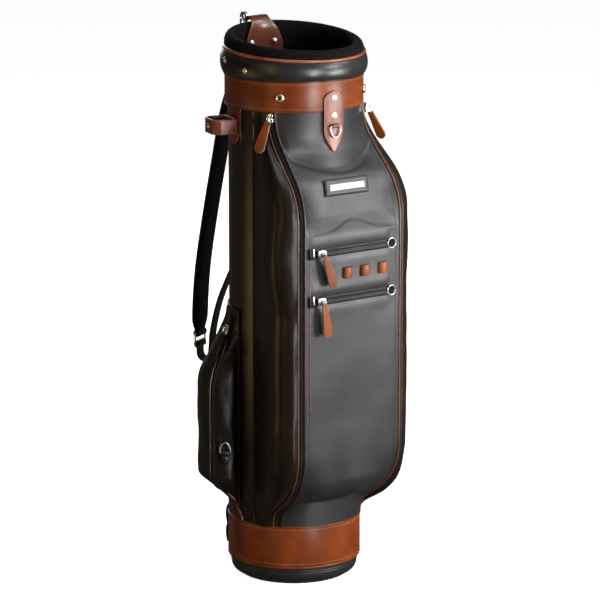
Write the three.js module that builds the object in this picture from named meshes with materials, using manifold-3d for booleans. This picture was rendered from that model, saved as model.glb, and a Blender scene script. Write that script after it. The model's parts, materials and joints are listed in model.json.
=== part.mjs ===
// A leather golf staff bag, standing on its base: a stiff liner tube in a leather cover, a padded and
// fur-lined mouth, a bulging front pocket with two side zips and two face zips, a side pocket, an
// umbrella loop and a shoulder strap that swings on two snap hooks behind the bag.
// Millimetres, +Z up. The origin is the centre of the base's underside. The front pocket faces -Y.
import * as THREE from "three";
import { mergeVertices } from "three/addons/utils/BufferGeometryUtils.js";
import Module from "manifold-3d";

const wasm = await Module();
wasm.setup();

// ---- Driving dimensions ----
const GAP = 0.3; // between pieces that touch
const RIM_Z = 854.5; // top of the fur-lined rim at its sides
const LINER_R = 93; // outside of the liner tube
const LINER_WALL = 2.2;
const COVER_R = 101.5; // outside of the leather cover, which is backed with foam
const COVER_WALL = 2.2; // leather alone, where it laps the base cup
const PANEL_R = COVER_R + 2.9; // outside of the panels sewn on the cover
const PANEL_WALL = 2.5;
const CUP_R = 99.6; // moulded base cup
const BAND_R = 104.4; // base band
const BAND_LOW_Z = 31.6;
const BAND_TOP_Z = 96;
const COLLAR_R = 107.2;
const COLLAR_LOW_Z = 750;
const COLLAR_TOP_Z = 797;
const ROLL_R = 113; // padded roll above the collar
const ROLL_TOP_Z = 832.5; // at its sides
const HOOP_TOP_Z = 822;
const SLANT = 0.2; // the mouth falls towards the front by this much of its height above the collar
const MOUTH_R = 88.4; // inside of the fur lining
const ROUND = 48; // segments of a full turn

// Front pocket: half-widths and distances from the bag's axis in its full section.
const FACE_Y = -154;
const FACE_HALF = 90.3;
const PANEL_EDGE_DEG = 52; // where the front panel's edge meets the round body
const ZIP_IN_DEG = 53;
const ZIP_OUT_DEG = 58.6;
const GUSSET_IN_DEG = 58.9;
const GUSSET_ROOT_DEG = 72.4;
const POCKET_TOP_Z = 757;
const POCKET_LOW_Z = 100;
const CREASE_LOW_Z = 136; // where the middle of the front meets the round body again
const TUCK_DEG = 5; // how far the front narrows at its foot
const ZIP_FULL_IN = [92.2, -152.8]; // the side zips' two edges in the full section
const ZIP_FULL_OUT = [98.4, -148.6];
const TRACK_R = 95; // radius of the side zips' first bend
const POCKET_DEPTH = 92.6; // how far the side zips' centre line stands out from the round body
const TOP_BEND = { depth: POCKET_DEPTH, first: TRACK_R, second: 95, slope: 45 };
const LOW_BEND = { depth: POCKET_DEPTH, first: 32, second: 100, slope: 60 };
const CREASE_BEND = { depth: 49.6, first: 4, second: 42, slope: 72 };

// Side pocket, centred on this angle round the bag.
const SIDE_DEG = -118;
const SIDE_ROOT_DEG = 28;
const SIDE_TOP_Z = 428;
const SIDE_LOW_Z = 119;
const SIDE_DEPTH = 48;
const SIDE_TOP_BEND = { depth: SIDE_DEPTH, first: 60, second: 90, slope: 28 };
const SIDE_LOW_BEND = { depth: SIDE_DEPTH, first: 10, second: 8, slope: 51 };
const SIDE_FACE_CENTRE = 70; // the face is an arc round a point this far from the axis
const SIDE_FACE_R = 82;

// Face zips and what sits between them.
const ZIP_UPPER_Z = 544.5;
const ZIP_LOWER_Z = 470.5;
const ZIP_START_X = -79;
const ZIP_END_X = 62;
const SLIDER_REST_X = -63;
const EYELET_X = 72;
const TEE_Z = 508.5;
const TEE_X = [-12, 21.5, 55];

// Shoulder strap: it swings about a vertical axis behind the bag.
const SWING_Y = 133;
const STRAP_DEG = 120.4; // direction of the strap's loop at rest, from +X
const STRAP_WIDE = 50;
const STRAP_NARROW = 28;
const STRAP_THICK = 7;
const HOOK_TOP_Z = 866; // the rings that the two hooks hang from
const HOOK_LOW_Z = 566;

const rad = THREE.MathUtils.degToRad;
const BLACK = [0x17181a, 0.42, 0];
const TAN = [0x7a3512, 0.45, 0];
const FUR = [0x050505, 0.95, 0];
const PLASTIC = [0x141414, 0.5, 0];
const CHROME = [0xd8d8d4, 0.2, 1];
const BRASS = [0xc9b07a, 0.3, 1];
const STEEL = [0x9a9c9e, 0.35, 1];

const bag = new THREE.Group();

// ---- Shape helpers ----

// A point at an angle round the bag: 0 is the front (-Y), 90 is +X.
function around(degrees, radius, z) {
  return new THREE.Vector3(radius * Math.sin(rad(degrees)), -radius * Math.cos(rad(degrees)), z);
}

function add(name, geometry, [color, roughness, metalness], place) {
  const mesh = new THREE.Mesh(geometry, new THREE.MeshStandardMaterial({ color, roughness, metalness }));
  mesh.name = name;
  if (place) mesh.applyMatrix4(place);
  bag.add(mesh);
  return mesh;
}

// A place whose local +Z points up along `up` and local +Y outwards along `out`.
function placeAt(origin, up, out) {
  const z = up.clone().normalize();
  const x = new THREE.Vector3().crossVectors(out, z).normalize();
  const y = new THREE.Vector3().crossVectors(z, x);
  return new THREE.Matrix4().makeBasis(x, y, z).setPosition(origin);
}

// A solid turned about the Z axis, from a profile of [radius, z] points that closes on itself.
function turned(profile, segments = ROUND) {
  const points = profile.map(([r, z]) => new THREE.Vector2(r, z));
  if (profile[0][0] > 0) points.push(points[0].clone());
  return new THREE.LatheGeometry(points, segments).rotateX(Math.PI / 2);
}

function ringOf(inner, outer, low, high, segments) {
  return turned([[outer, low], [outer, high], [inner, high], [inner, low]], segments);
}

// A closed sheet of even thickness: pointAt(u, v) gives its outer face, u and v from 0 to 1.
function sheet(pointAt, across, along, thickness) {
  const step = 1e-3;
  const vertices = [];
  const faces = [];
  const inner = (across + 1) * (along + 1);
  const rows = [[], []];
  for (let j = 0; j <= along; j++) {
    for (let i = 0; i <= across; i++) {
      const u = i / across;
      const v = j / along;
      const p = pointAt(u, v);
      const du = pointAt(Math.min(1, u + step), v).sub(pointAt(Math.max(0, u - step), v));
      const dv = pointAt(u, Math.min(1, v + step)).sub(pointAt(u, Math.max(0, v - step)));
      const normal = du.cross(dv).normalize();
      rows[0].push(...p.toArray());
      rows[1].push(...p.clone().addScaledVector(normal, -thickness).toArray());
    }
  }
  vertices.push(...rows[0], ...rows[1]);
  const id = (i, j) => j * (across + 1) + i;
  const quad = (a, b, c, d) => faces.push(a, b, c, a, c, d);
  for (let j = 0; j < along; j++) {
    for (let i = 0; i < across; i++) {
      quad(id(i, j), id(i + 1, j), id(i + 1, j + 1), id(i, j + 1));
      quad(inner + id(i, j + 1), inner + id(i + 1, j + 1), inner + id(i + 1, j), inner + id(i, j));
    }
  }
  const edge = (a, b) => quad(b, a, inner + a, inner + b);
  for (let i = 0; i < across; i++) {
    edge(id(i, 0), id(i + 1, 0));
    edge(id(i + 1, along), id(i, along));
  }
  for (let j = 0; j < along; j++) {
    edge(id(0, j + 1), id(0, j));
    edge(id(across, j), id(across, j + 1));
  }
  const geometry = new THREE.BufferGeometry();
  geometry.setAttribute("position", new THREE.Float32BufferAttribute(vertices, 3));
  geometry.setIndex(faces);
  return geometry;
}

// A closed wire of round section along a flat closed outline of [x, z] points, in the XZ plane.
function wireLoop(outline, radius, sides = 8) {
  const points = outline.map(([x, z]) => new THREE.Vector2(x, z));
  const count = points.length;
  const vertices = [];
  const faces = [];
  points.forEach((p, i) => {
    const before = points[(i + count - 1) % count];
    const after = points[(i + 1) % count];
    const out = new THREE.Vector2(after.y - before.y, before.x - after.x).normalize();
    for (let k = 0; k < sides; k++) {
      const turn = (k / sides) * 2 * Math.PI;
      const reach = radius * Math.cos(turn);
      vertices.push(p.x + out.x * reach, radius * Math.sin(turn), p.y + out.y * reach);
      const next = (i + 1) % count;
      const [a, b] = [i * sides + k, i * sides + ((k + 1) % sides)];
      const [c, d] = [next * sides + ((k + 1) % sides), next * sides + k];
      faces.push(a, b, c, a, c, d);
    }
  });
  const geometry = new THREE.BufferGeometry();
  geometry.setAttribute("position", new THREE.Float32BufferAttribute(vertices, 3));
  geometry.setIndex(faces);
  return geometry;
}

// A D-ring's outline: a straight bar at z 0, and a round bow below it.
function bowOutline(width, drop, steps = 12) {
  const half = width / 2;
  const outline = [[half, 0], [0, 0], [-half, 0]];
  for (let i = 1; i < steps; i++) {
    const turn = (Math.PI * i) / steps;
    outline.push([-half * Math.cos(turn), -drop * Math.sin(turn)]);
  }
  return outline.reverse();
}

// A flat outline of [x, z] points, extruded along Y and centred on it.
function plate(outline, thickness) {
  const shape = new THREE.Shape(outline.map(([x, z]) => new THREE.Vector2(x, z)));
  const geometry = new THREE.ExtrudeGeometry(shape, { depth: thickness, bevelEnabled: false });
  return geometry.rotateX(Math.PI / 2).translate(0, thickness / 2, 0);
}

function box(sx, sy, sz, x = 0, y = 0, z = 0) {
  return new THREE.BoxGeometry(sx, sy, sz).translate(x, y, z);
}

function cylinder(radius, length, sides = 16) {
  return new THREE.CylinderGeometry(radius, radius, length, sides).rotateX(Math.PI / 2);
}

function solid(geometry) {
  const bare = geometry.clone();
  bare.deleteAttribute("normal");
  bare.deleteAttribute("uv");
  const merged = mergeVertices(bare, 1e-4);
  return new wasm.Manifold(
    new wasm.Mesh({
      numProp: 3,
      vertProperties: merged.attributes.position.array,
      triVerts: new Uint32Array(merged.index.array),
    }),
  );
}

function geometryOf(manifold) {
  const mesh = manifold.getMesh();
  const geometry = new THREE.BufferGeometry();
  geometry.setAttribute("position", new THREE.BufferAttribute(mesh.vertProperties, 3));
  geometry.setIndex(new THREE.BufferAttribute(mesh.triVerts, 1));
  return geometry;
}

function joined(...geometries) {
  return geometryOf(geometries.map(solid).reduce((all, next) => all.add(next)));
}

// How far a pocket stands out at a distance in from its end: a bend out, a straight slope, a bend back.
function standOut(run, { depth, first, second, slope }) {
  const sin = Math.sin(rad(slope));
  const cos = Math.cos(rad(slope));
  const straight = (depth - (first + second) * (1 - cos)) / sin;
  const total = (first + second) * sin + straight * cos;
  if (run <= 0) return 0;
  if (run < first * sin) return first - Math.sqrt(first ** 2 - run ** 2);
  if (run < first * sin + straight * cos) {
    return first * (1 - cos) + ((run - first * sin) * sin) / cos;
  }
  if (run < total) return depth - second + Math.sqrt(second ** 2 - (total - run) ** 2);
  return depth;
}

const mix = THREE.MathUtils.lerp;

// ---- Base ----
function buildBase() {
  add("base_foot", turned([[0, 0], [86, 0], [88, 2], [88, 4], [0, 4]]), PLASTIC);
  const cup = [
    [0, 4.3], [91, 4.3], [97, 8], [CUP_R, 16], [CUP_R, 31.3], [CUP_R - 0.6, 31.3], [CUP_R - 0.6, 88],
    [LINER_R + GAP, 88], [LINER_R + GAP, 10], [0, 10],
  ];
  add("base_cup", turned(cup), PLASTIC);
  add("base_band", ringOf(COVER_R + GAP, BAND_R, BAND_LOW_Z, BAND_TOP_Z), TAN);
}

// ---- Body ----
function buildBody() {
  add("liner_tube", ringOf(LINER_R - LINER_WALL, LINER_R, 10.3, HOOP_TOP_Z), PLASTIC);
  const [lap, foam] = [COVER_R - COVER_WALL, LINER_R + GAP];
  const cover = [
    [COVER_R, BAND_LOW_Z], [COVER_R, HOOP_TOP_Z], [foam, HOOP_TOP_Z], [foam, 88.3], [lap, 88.3],
    [lap, BAND_LOW_Z],
  ];
  add("body_cover", turned(cover), BLACK);
}

// ---- Mouth and collar ----
function rollRadius(z) {
  const middle = (COLLAR_TOP_Z + ROLL_TOP_Z) / 2;
  const half = (ROLL_TOP_Z - COLLAR_TOP_Z) / 2;
  return ROLL_R - 4.5 * ((z - middle) / half) ** 2;
}

// The mouth's slant lifts the back and lowers the front: not at all at `level`, in full from `full` up.
function slanted(point, level = COLLAR_TOP_Z, full = level) {
  const share = full > level ? THREE.MathUtils.clamp((point.z - level) / (full - level), 0, 1) : 1;
  const lift = SLANT * Math.max(0, point.z - COLLAR_TOP_Z) * share;
  return point.setZ(point.z + (lift * point.y) / Math.hypot(point.x, point.y));
}

function slantedGeometry(geometry, level, full) {
  const position = geometry.getAttribute("position");
  const point = new THREE.Vector3();
  for (let i = 0; i < position.count; i++) {
    point.fromBufferAttribute(position, i);
    if (point.z > level) slanted(point, level, full);
    position.setXYZ(i, point.x, point.y, point.z);
  }
  return geometry;
}

function buildMouth() {
  const inside = COVER_R + GAP;
  add("top_hoop", ringOf(inside, COLLAR_R - 2.9, COLLAR_LOW_Z, HOOP_TOP_Z), PLASTIC);
  add("collar_band", ringOf(COLLAR_R - 2.6, COLLAR_R, COLLAR_LOW_Z, COLLAR_TOP_Z), TAN);
  const low = COLLAR_TOP_Z + 0.4;
  const roll = [[COLLAR_R - 2.6, ROLL_TOP_Z], [COLLAR_R - 2.6, low]];
  for (let i = 0; i <= 5; i++) {
    const z = mix(low, ROLL_TOP_Z, i / 5);
    roll.push([rollRadius(z), z]);
  }
  add("cuff_roll", slantedGeometry(turned(roll), COLLAR_TOP_Z), BLACK);
  const fur = [
    [MOUTH_R, 770], [90.5, 770], [90.5, HOOP_TOP_Z + GAP], [104.3, HOOP_TOP_Z + GAP],
    [104.3, ROLL_TOP_Z + GAP], [107.5, ROLL_TOP_Z + GAP], [108.6, 839.5], [107, 848.5], [102, 853.8],
    [97, RIM_Z], [91.5, 851.5], [MOUTH_R, 845], [MOUTH_R, HOOP_TOP_Z + GAP],
  ];
  add("fur_cuff", slantedGeometry(turned(fur), HOOP_TOP_Z + GAP, ROLL_TOP_Z + GAP), FUR);

  const bars = solid(box(190, 14, 38, 0, 0, 786)).add(solid(box(14, 95, 38, 0, -47.5, 786)));
  const hole = solid(cylinder(MOUTH_R - GAP, 60, ROUND).translate(0, 0, 786));
  add("club_divider", geometryOf(bars.intersect(hole)), FUR);

  // A leather patch on each side of the roll, with the two rivets that hold the divider.
  for (const [name, side] of [["roll_patch_left", -1], ["roll_patch_right", 1]]) {
    const middle = (COLLAR_TOP_Z + ROLL_TOP_Z) / 2;
    const patch = sheet(
      (u, v) => {
        const z = mix(middle - 14, middle + 14, v);
        return slanted(around(side * 92.5 + mix(-21, 21, u), rollRadius(z) + 1.6, z));
      },
      10, 6, 1.2,
    );
    const heads = [[103, 5], [77, -3.5]].map(([degrees, lift]) => {
      return rivetGeometry(4.8).applyMatrix4(onCylinder(side * degrees, ROLL_R + 1, middle + lift));
    });
    add(name, joined(patch, ...heads), BLACK);
  }
}

// ---- Front pocket ----
function topShare(z) {
  return standOut(POCKET_TOP_Z - z, TOP_BEND) / POCKET_DEPTH;
}

function lowShare(z) {
  return standOut(z - POCKET_LOW_Z, LOW_BEND) / POCKET_DEPTH;
}

// Towards its foot the pocket's front narrows by this many degrees on each side.
function tuck(z) {
  return TUCK_DEG * THREE.MathUtils.smoothstep(230 - z, 0, 110);
}

// The front's middle stays against the round body as far as a crease, then bulges in two steps. Its foot
// meets the round body in a crease of its own.
function panelShare(side, z) {
  const crease = THREE.MathUtils.smoothstep(690 - z, 0, 50);
  const slope = THREE.MathUtils.clamp((642 - z) / 50, 0, 1);
  const flap = THREE.MathUtils.smoothstep(598 - z, 0, 32);
  const high = mix(0.61 * crease + 0.16 * slope + 0.23 * flap, topShare(z), side ** 2.6);
  const middle = standOut(z - CREASE_LOW_Z, CREASE_BEND) / CREASE_BEND.depth;
  return Math.min(high, mix(middle, lowShare(z), THREE.MathUtils.smoothstep(side, 0.4, 1)));
}

// A point of the pocket's skin: on the round body where the share is 0, in the full section where it is 1.
function pocketPoint(degrees, fullX, fullY, z) {
  const share = Math.min(topShare(z), lowShare(z));
  const neck = around(degrees - Math.sign(degrees) * tuck(z), PANEL_R, z);
  return new THREE.Vector3(mix(neck.x, fullX, share), mix(neck.y, fullY, share), z);
}

function panelPoint(u, z) {
  const side = Math.abs(2 * u - 1);
  const fullY = FACE_Y + 1.3 * side ** 8;
  const edge = PANEL_EDGE_DEG - tuck(z);
  const neck = around(mix(-edge, edge, u), PANEL_R, z);
  const full = new THREE.Vector3(mix(-FACE_HALF, FACE_HALF, u), fullY, z);
  return neck.lerp(full, panelShare(side, z));
}

const GUSSET_SECTION = new THREE.CatmullRomCurve3(
  [[98.9, -148.1], [107, -143.5], [114.5, -134], [118, -119], [116.5, -92], [108.5, -60], [99.3, -31.5]].map(
    ([x, y]) => new THREE.Vector3(x, y, 0),
  ),
);

// The gusset swells between its two edges, most of all beside the upper face zip.
function gussetPoint(sign, u, z) {
  const full = GUSSET_SECTION.getPoint(u);
  const puff = Math.sin(Math.PI * u) ** 2;
  const swell = puff * (4 + 8 * Math.exp(-(((z - 545) / 62) ** 2)));
  const share = Math.min(topShare(z - 9 * puff), lowShare(z + 18 * puff));
  const degrees = mix(GUSSET_IN_DEG - tuck(z), GUSSET_ROOT_DEG, u);
  const neck = around(sign * degrees, PANEL_R, z);
  return neck.lerp(new THREE.Vector3(sign * (full.x + swell), full.y, z), share);
}

function buildFrontPocket() {
  const high = COLLAR_LOW_Z - GAP;
  const low = BAND_TOP_Z + GAP;
  const zAt = (v) => mix(low, high, v);
  add("front_panel", sheet((u, v) => panelPoint(u, zAt(v)), 12, 38, PANEL_WALL), BLACK);
  for (const [side, sign] of [["left", -1], ["right", 1]]) {
    // Across runs the same way round on both sides, so that both sheets face outwards.
    const across = (u) => (sign > 0 ? u : 1 - u);
    add(
      `side_zip_tape_${side}`,
      sheet(
        (u, v) =>
          pocketPoint(
            sign * mix(ZIP_IN_DEG, ZIP_OUT_DEG, across(u)),
            sign * mix(ZIP_FULL_IN[0], ZIP_FULL_OUT[0], across(u)),
            mix(ZIP_FULL_IN[1], ZIP_FULL_OUT[1], across(u)),
            zAt(v),
          ),
        1, 26, 1.4,
      ),
      PLASTIC,
    );
    add(
      `front_gusset_${side}`,
      sheet((u, v) => gussetPoint(sign, across(u), zAt(v)), 8, 26, PANEL_WALL),
      BLACK,
    );
  }
}

// ---- Zips, sliders and pulls ----
const SLIDER_LENGTH = 15;
const PULL_LENGTH = 56; // from its hinge line
const BRIDGE_LIFT = 9.8; // a slider's bridge above its base
const WIRE_LIFT = 7; // the gap below the bridge

// A slider's length is along local X, its outer face looks along +Y, and its base is at y 0.
function sliderGeometry() {
  const half = SLIDER_LENGTH / 2;
  const outline = [[-half, -4], [-2, -5], [half, -5], [half, 5], [-2, 5], [-half, 4]];
  const shell = plate(outline, 5).translate(0, 2.5, 0);
  const bridge = box(9, 1.6, 2.4, 0, BRIDGE_LIFT, 0);
  const legs = [-3.7, 3.7].map((x) => box(1.6, 6, 2.4, x, 7.2, 0));
  return joined(shell, bridge, ...legs);
}

// A pull hangs down -Z from its hinge line at z 0: a wire, then a leather tab that widens to a round end
// and may be twisted about its own length. On a level zip the wire is a ring round the slider's bridge. On
// an upright zip it is a stirrup whose top passes under the bridge.
function pullGeometry(stirrup = false, twist = 0) {
  const low = -PULL_LENGTH + 8;
  const outline = stirrup ? [[-4.5, -7]] : [[-3, -2.8], [-3, -7], [-4.5, -8]];
  outline.push([-8, low]);
  for (let i = 1; i < 8; i++) {
    const turn = (Math.PI * i) / 8;
    outline.push([-8 * Math.cos(turn), low - 8 * Math.sin(turn)]);
  }
  outline.push([8, low]);
  outline.push(...(stirrup ? [[4.5, -7]] : [[4.5, -8], [3, -7], [3, -2.8]]));
  const wire = stirrup
    ? wireLoop([[4, 0], [-4, 0], [-4, -7.6], [4, -7.6]].reverse(), 0.8)
    : new THREE.TorusGeometry(3, 0.8, 8, 14).rotateY(Math.PI / 2);
  const tab = plate(outline.reverse(), 3).rotateZ(rad(twist));
  return joined(tab, wire);
}

const UP = new THREE.Vector3(0, 0, 1);
const FRONT = new THREE.Vector3(0, -1, 0);

function buildFaceZips() {
  for (const [name, z, tilt] of [["upper", ZIP_UPPER_Z, 19], ["lower", ZIP_LOWER_Z, 8]]) {
    const middle = (ZIP_START_X + ZIP_END_X) / 2;
    const tape = box(ZIP_END_X - ZIP_START_X, 1.4, 14, middle, FACE_Y - GAP - 0.7, z);
    add(`face_zip_${name}`, tape, PLASTIC);
    const base = FACE_Y - GAP - 1.4 - GAP;
    const onFace = (x, y, zed) => placeAt(new THREE.Vector3(x, y, zed), UP, FRONT);
    add(`face_slider_${name}`, sliderGeometry(), CHROME, onFace(SLIDER_REST_X, base, z));
    const pull = pullGeometry().rotateY(rad(tilt));
    add(`face_pull_${name}`, pull, TAN, onFace(SLIDER_REST_X, base - BRIDGE_LIFT, z));
    const eyelet = new THREE.TorusGeometry(7.6, 1.5, 8, 20).rotateX(Math.PI / 2);
    add(`zip_eyelet_${name}`, eyelet, CHROME, onFace(EYELET_X, FACE_Y - GAP - 1.6, z));
  }
}

// The side zips' sliders sit in the first bend of the track, which is an arc of radius TRACK_R.
const SIDE_SLIDER_Z = 740;
const RIGHT_PULL_TWIST = 60; // degrees

function buildSideSliders() {
  for (const [side, sign] of [["left", -1], ["right", 1]]) {
    const edge = (degrees, full, z) => pocketPoint(sign * degrees, sign * full[0], full[1], z);
    const inner = (z) => edge(ZIP_IN_DEG, ZIP_FULL_IN, z);
    const outer = (z) => edge(ZIP_OUT_DEG, ZIP_FULL_OUT, z);
    const middle = (z) => inner(z).lerp(outer(z), 0.5);
    const along = middle(SIDE_SLIDER_Z + 1).sub(middle(SIDE_SLIDER_Z - 1)).normalize();
    const width = outer(SIDE_SLIDER_Z).sub(inner(SIDE_SLIDER_Z)).multiplyScalar(sign).normalize();
    const out = new THREE.Vector3().crossVectors(width, along).normalize();
    const base = middle(SIDE_SLIDER_Z).addScaledVector(out, 2.4); // room for the tape's twist
    // The slider's length is its local X, so its place lies on its side.
    const place = placeAt(base, new THREE.Vector3().crossVectors(along, out), out);
    add(`side_slider_${side}`, sliderGeometry(), CHROME, place);
    const hang = new THREE.Vector3(0, 0, -50);
    if (sign < 0) hang.addScaledVector(around(-146, 1, 0), 8).addScaledVector(out, 26);
    else hang.addScaledVector(around(70, 1, 0), 24);
    const hinge = base.clone().addScaledVector(out, WIRE_LIFT);
    const pull = pullGeometry(true, sign < 0 ? 0 : RIGHT_PULL_TWIST);
    add(`side_pull_${side}`, pull, TAN, placeAt(hinge, hang.negate(), out));
  }
}

// ---- Face fittings ----
function buildFaceFittings() {
  const badgeZ = 638;
  const slopeStep = 8;
  const centre = (z) => panelPoint(0.5, z);
  const up = centre(badgeZ + slopeStep).sub(centre(badgeZ - slopeStep)).normalize();
  const out = new THREE.Vector3(0, -up.z, up.y).normalize();
  const badge = plate([[-39, -11], [39, -11], [39, 11], [-39, 11]], 3);
  add("badge_plate", badge, CHROME, placeAt(centre(badgeZ).addScaledVector(out, 2.6), up, out));

  // Each tee loop is an arch of leather, open upwards and downwards.
  TEE_X.forEach((x, i) => {
    const [half, rise, wall, height] = [9, 7, 1.8, 17];
    const steps = 8;
    const arch = [];
    for (let k = 0; k <= steps; k++) {
      const turn = (Math.PI * k) / steps;
      arch.push([half * Math.cos(turn), rise * Math.sin(turn)]);
    }
    for (let k = steps; k >= 0; k--) {
      const turn = (Math.PI * k) / steps;
      arch.push([(half - wall) * Math.cos(turn), (rise - wall) * Math.sin(turn)]);
    }
    const shape = new THREE.Shape(arch.map(([px, py]) => new THREE.Vector2(px, -py)));
    const loop = new THREE.ExtrudeGeometry(shape, { depth: height, bevelEnabled: false });
    const place = new THREE.Matrix4().setPosition(x, FACE_Y - GAP, TEE_Z - height / 2);
    add(`tee_loop_${i + 1}`, loop, TAN, place);
  });
}

// ---- Collar fittings ----
// A rivet head: a dome on a short flat disc, facing +Y from y 0.
function rivetGeometry(radius) {
  const profile = [[0, 0], [radius, 0], [radius, 1], [radius * 0.75, 2.2], [radius * 0.35, 2.9], [0, 3.1]];
  return turned(profile, 14).rotateX(-Math.PI / 2);
}

function onCylinder(degrees, radius, z) {
  const at = around(degrees, radius, z);
  return placeAt(at, UP, around(degrees, 1, 0));
}

const TAB_DEG = -2;

function buildCollarFittings() {
  const [top, low] = [780.5, 689];
  const outer = COLLAR_R + GAP + 3;
  const halfWidth = (z) => {
    if (z > top - 14) return 18 * Math.sqrt(Math.max(0.02, 1 - ((z - top + 14) / 14) ** 2));
    if (z < low + 34) return mix(2.5, 18, Math.sin((Math.PI / 2) * ((z - low) / 34)));
    return 18;
  };
  const tab = sheet(
    (u, v) => {
      const z = mix(low, top, v);
      const spread = THREE.MathUtils.radToDeg(halfWidth(z) / outer);
      return around(TAB_DEG + mix(-spread, spread, u), outer, z);
    },
    4, 22, 3,
  );
  const ringAt = onCylinder(TAB_DEG, outer + 2.9, 727.5);
  const fold = cylinder(3.4, 12, 12).rotateY(Math.PI / 2).applyMatrix4(ringAt);
  const bore = cylinder(1.9, 30, 12).rotateY(Math.PI / 2).applyMatrix4(ringAt);
  add("collar_tab", geometryOf(solid(tab).add(solid(fold)).subtract(solid(bore))), TAN);
  for (const [name, z] of [["tab_rivet_upper", 770], ["tab_rivet_lower", 743]]) {
    add(name, rivetGeometry(5.2), CHROME, onCylinder(TAB_DEG, outer + GAP, z));
  }
  const ring = wireLoop(bowOutline(20, 18), 1.5);
  add("collar_ring", ring, CHROME, ringAt);
  for (const [name, degrees] of [["hood_snap_left", -47.5], ["hood_snap_right", 47.5]]) {
    const profile = [[2.7, 0], [7.2, 0], [7.2, 1.2], [5.6, 3.2], [4, 3.4], [2.7, 2.6]];
    const snap = turned(profile, 16).rotateX(-Math.PI / 2);
    add(name, snap, BRASS, onCylinder(degrees, COLLAR_R + GAP, 772));
  }
}

// ---- Umbrella holder ----
const LOOP_DEG = -103;

function buildUmbrellaHolder() {
  const tabTop = COLLAR_LOW_Z - GAP;
  const tab = sheet(
    (u, v) => {
      const z = mix(692, tabTop, v);
      const spread = 14 * Math.sqrt(Math.min(1, 0.25 + (0.75 * (z - 692)) / 16));
      return around(LOOP_DEG + mix(-spread, spread, u), COVER_R + GAP + 2, z);
    },
    6, 8, 2,
  );
  add("umbrella_tab", tab, TAN);

  const [half, reach, corner, wall] = [25, 38, 14, 3];
  const outline = (inset) => {
    const shape = new THREE.Shape();
    const [w, near, far, r] = [half - inset, inset, reach - inset, corner - inset];
    shape.moveTo(-w, near);
    shape.lineTo(w, near);
    shape.lineTo(w, far - r);
    shape.absarc(w - r, far - r, r, 0, Math.PI / 2, false);
    shape.lineTo(-w + r, far);
    shape.absarc(-w + r, far - r, r, Math.PI / 2, Math.PI, false);
    return shape;
  };
  const ringShape = outline(0);
  ringShape.holes.push(outline(wall));
  const height = 23;
  const loop = new THREE.ExtrudeGeometry(ringShape, { depth: height, bevelEnabled: false, curveSegments: 6 });
  loop.translate(0, 0, -height / 2);
  add("umbrella_loop", loop, TAN, onCylinder(LOOP_DEG, COVER_R + GAP + 2 + GAP, 721));

  // Low on the same side: a leather patch between the base band and the side pocket, and a cup for
  // the umbrella's tip.
  const patch = sheet(
    (u, v) => {
      const half = 31 - 5 * v * v;
      return around(SIDE_DEG + mix(-half, half, u), COVER_R + GAP + 2.2, mix(BAND_TOP_Z + GAP, 114.6, v));
    },
    10, 3, 2.2,
  );
  add("base_patch", patch, TAN);
  const cup = sheet(
    (u, v) => {
      const bump = Math.abs(Math.sin(Math.PI * 2 * v)) ** 0.6;
      const side = Math.sin(Math.PI * u) ** 0.5;
      return around(-143 + mix(-13, 13, u), BAND_R + GAP + 2.2 + 4.5 * bump * side, mix(41, 100, v));
    },
    8, 12, 2.2,
  );
  add("umbrella_tip_cup", cup, BLACK);
}

// ---- Side pocket ----
function sideShare(z) {
  return Math.min(standOut(SIDE_TOP_Z - z, SIDE_TOP_BEND), standOut(z - SIDE_LOW_Z, SIDE_LOW_BEND)) / SIDE_DEPTH;
}

// The full section as [across, out] in the pocket's own frame, from one root over the face to the other.
const SIDE_EDGE = 44;
const sideFaceOut = (across) => SIDE_FACE_CENTRE + Math.sqrt(SIDE_FACE_R ** 2 - across ** 2);
const SIDE_SECTION = new THREE.CatmullRomCurve3(
  [
    [-48.9, 92], [-54, 108], [-54, 124], [-50, 135], [-SIDE_EDGE, sideFaceOut(SIDE_EDGE)],
    [-30, sideFaceOut(30)], [-15, sideFaceOut(15)], [0, sideFaceOut(0)], [15, sideFaceOut(15)],
    [30, sideFaceOut(30)], [SIDE_EDGE, sideFaceOut(SIDE_EDGE)], [50, 135], [54, 124], [54, 108], [48.9, 92],
  ].map(([across, out]) => new THREE.Vector3(across, out, 0)),
);

function sidePoint(u, z) {
  const full = SIDE_SECTION.getPoint(u);
  const out = around(SIDE_DEG, 1, 0);
  const across = around(SIDE_DEG + 90, 1, 0);
  const neck = around(SIDE_DEG + mix(-SIDE_ROOT_DEG, SIDE_ROOT_DEG, u), PANEL_R, z);
  const fullPoint = out.multiplyScalar(full.y).addScaledVector(across, full.x).setZ(z);
  return neck.lerp(fullPoint, sideShare(z));
}

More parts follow.
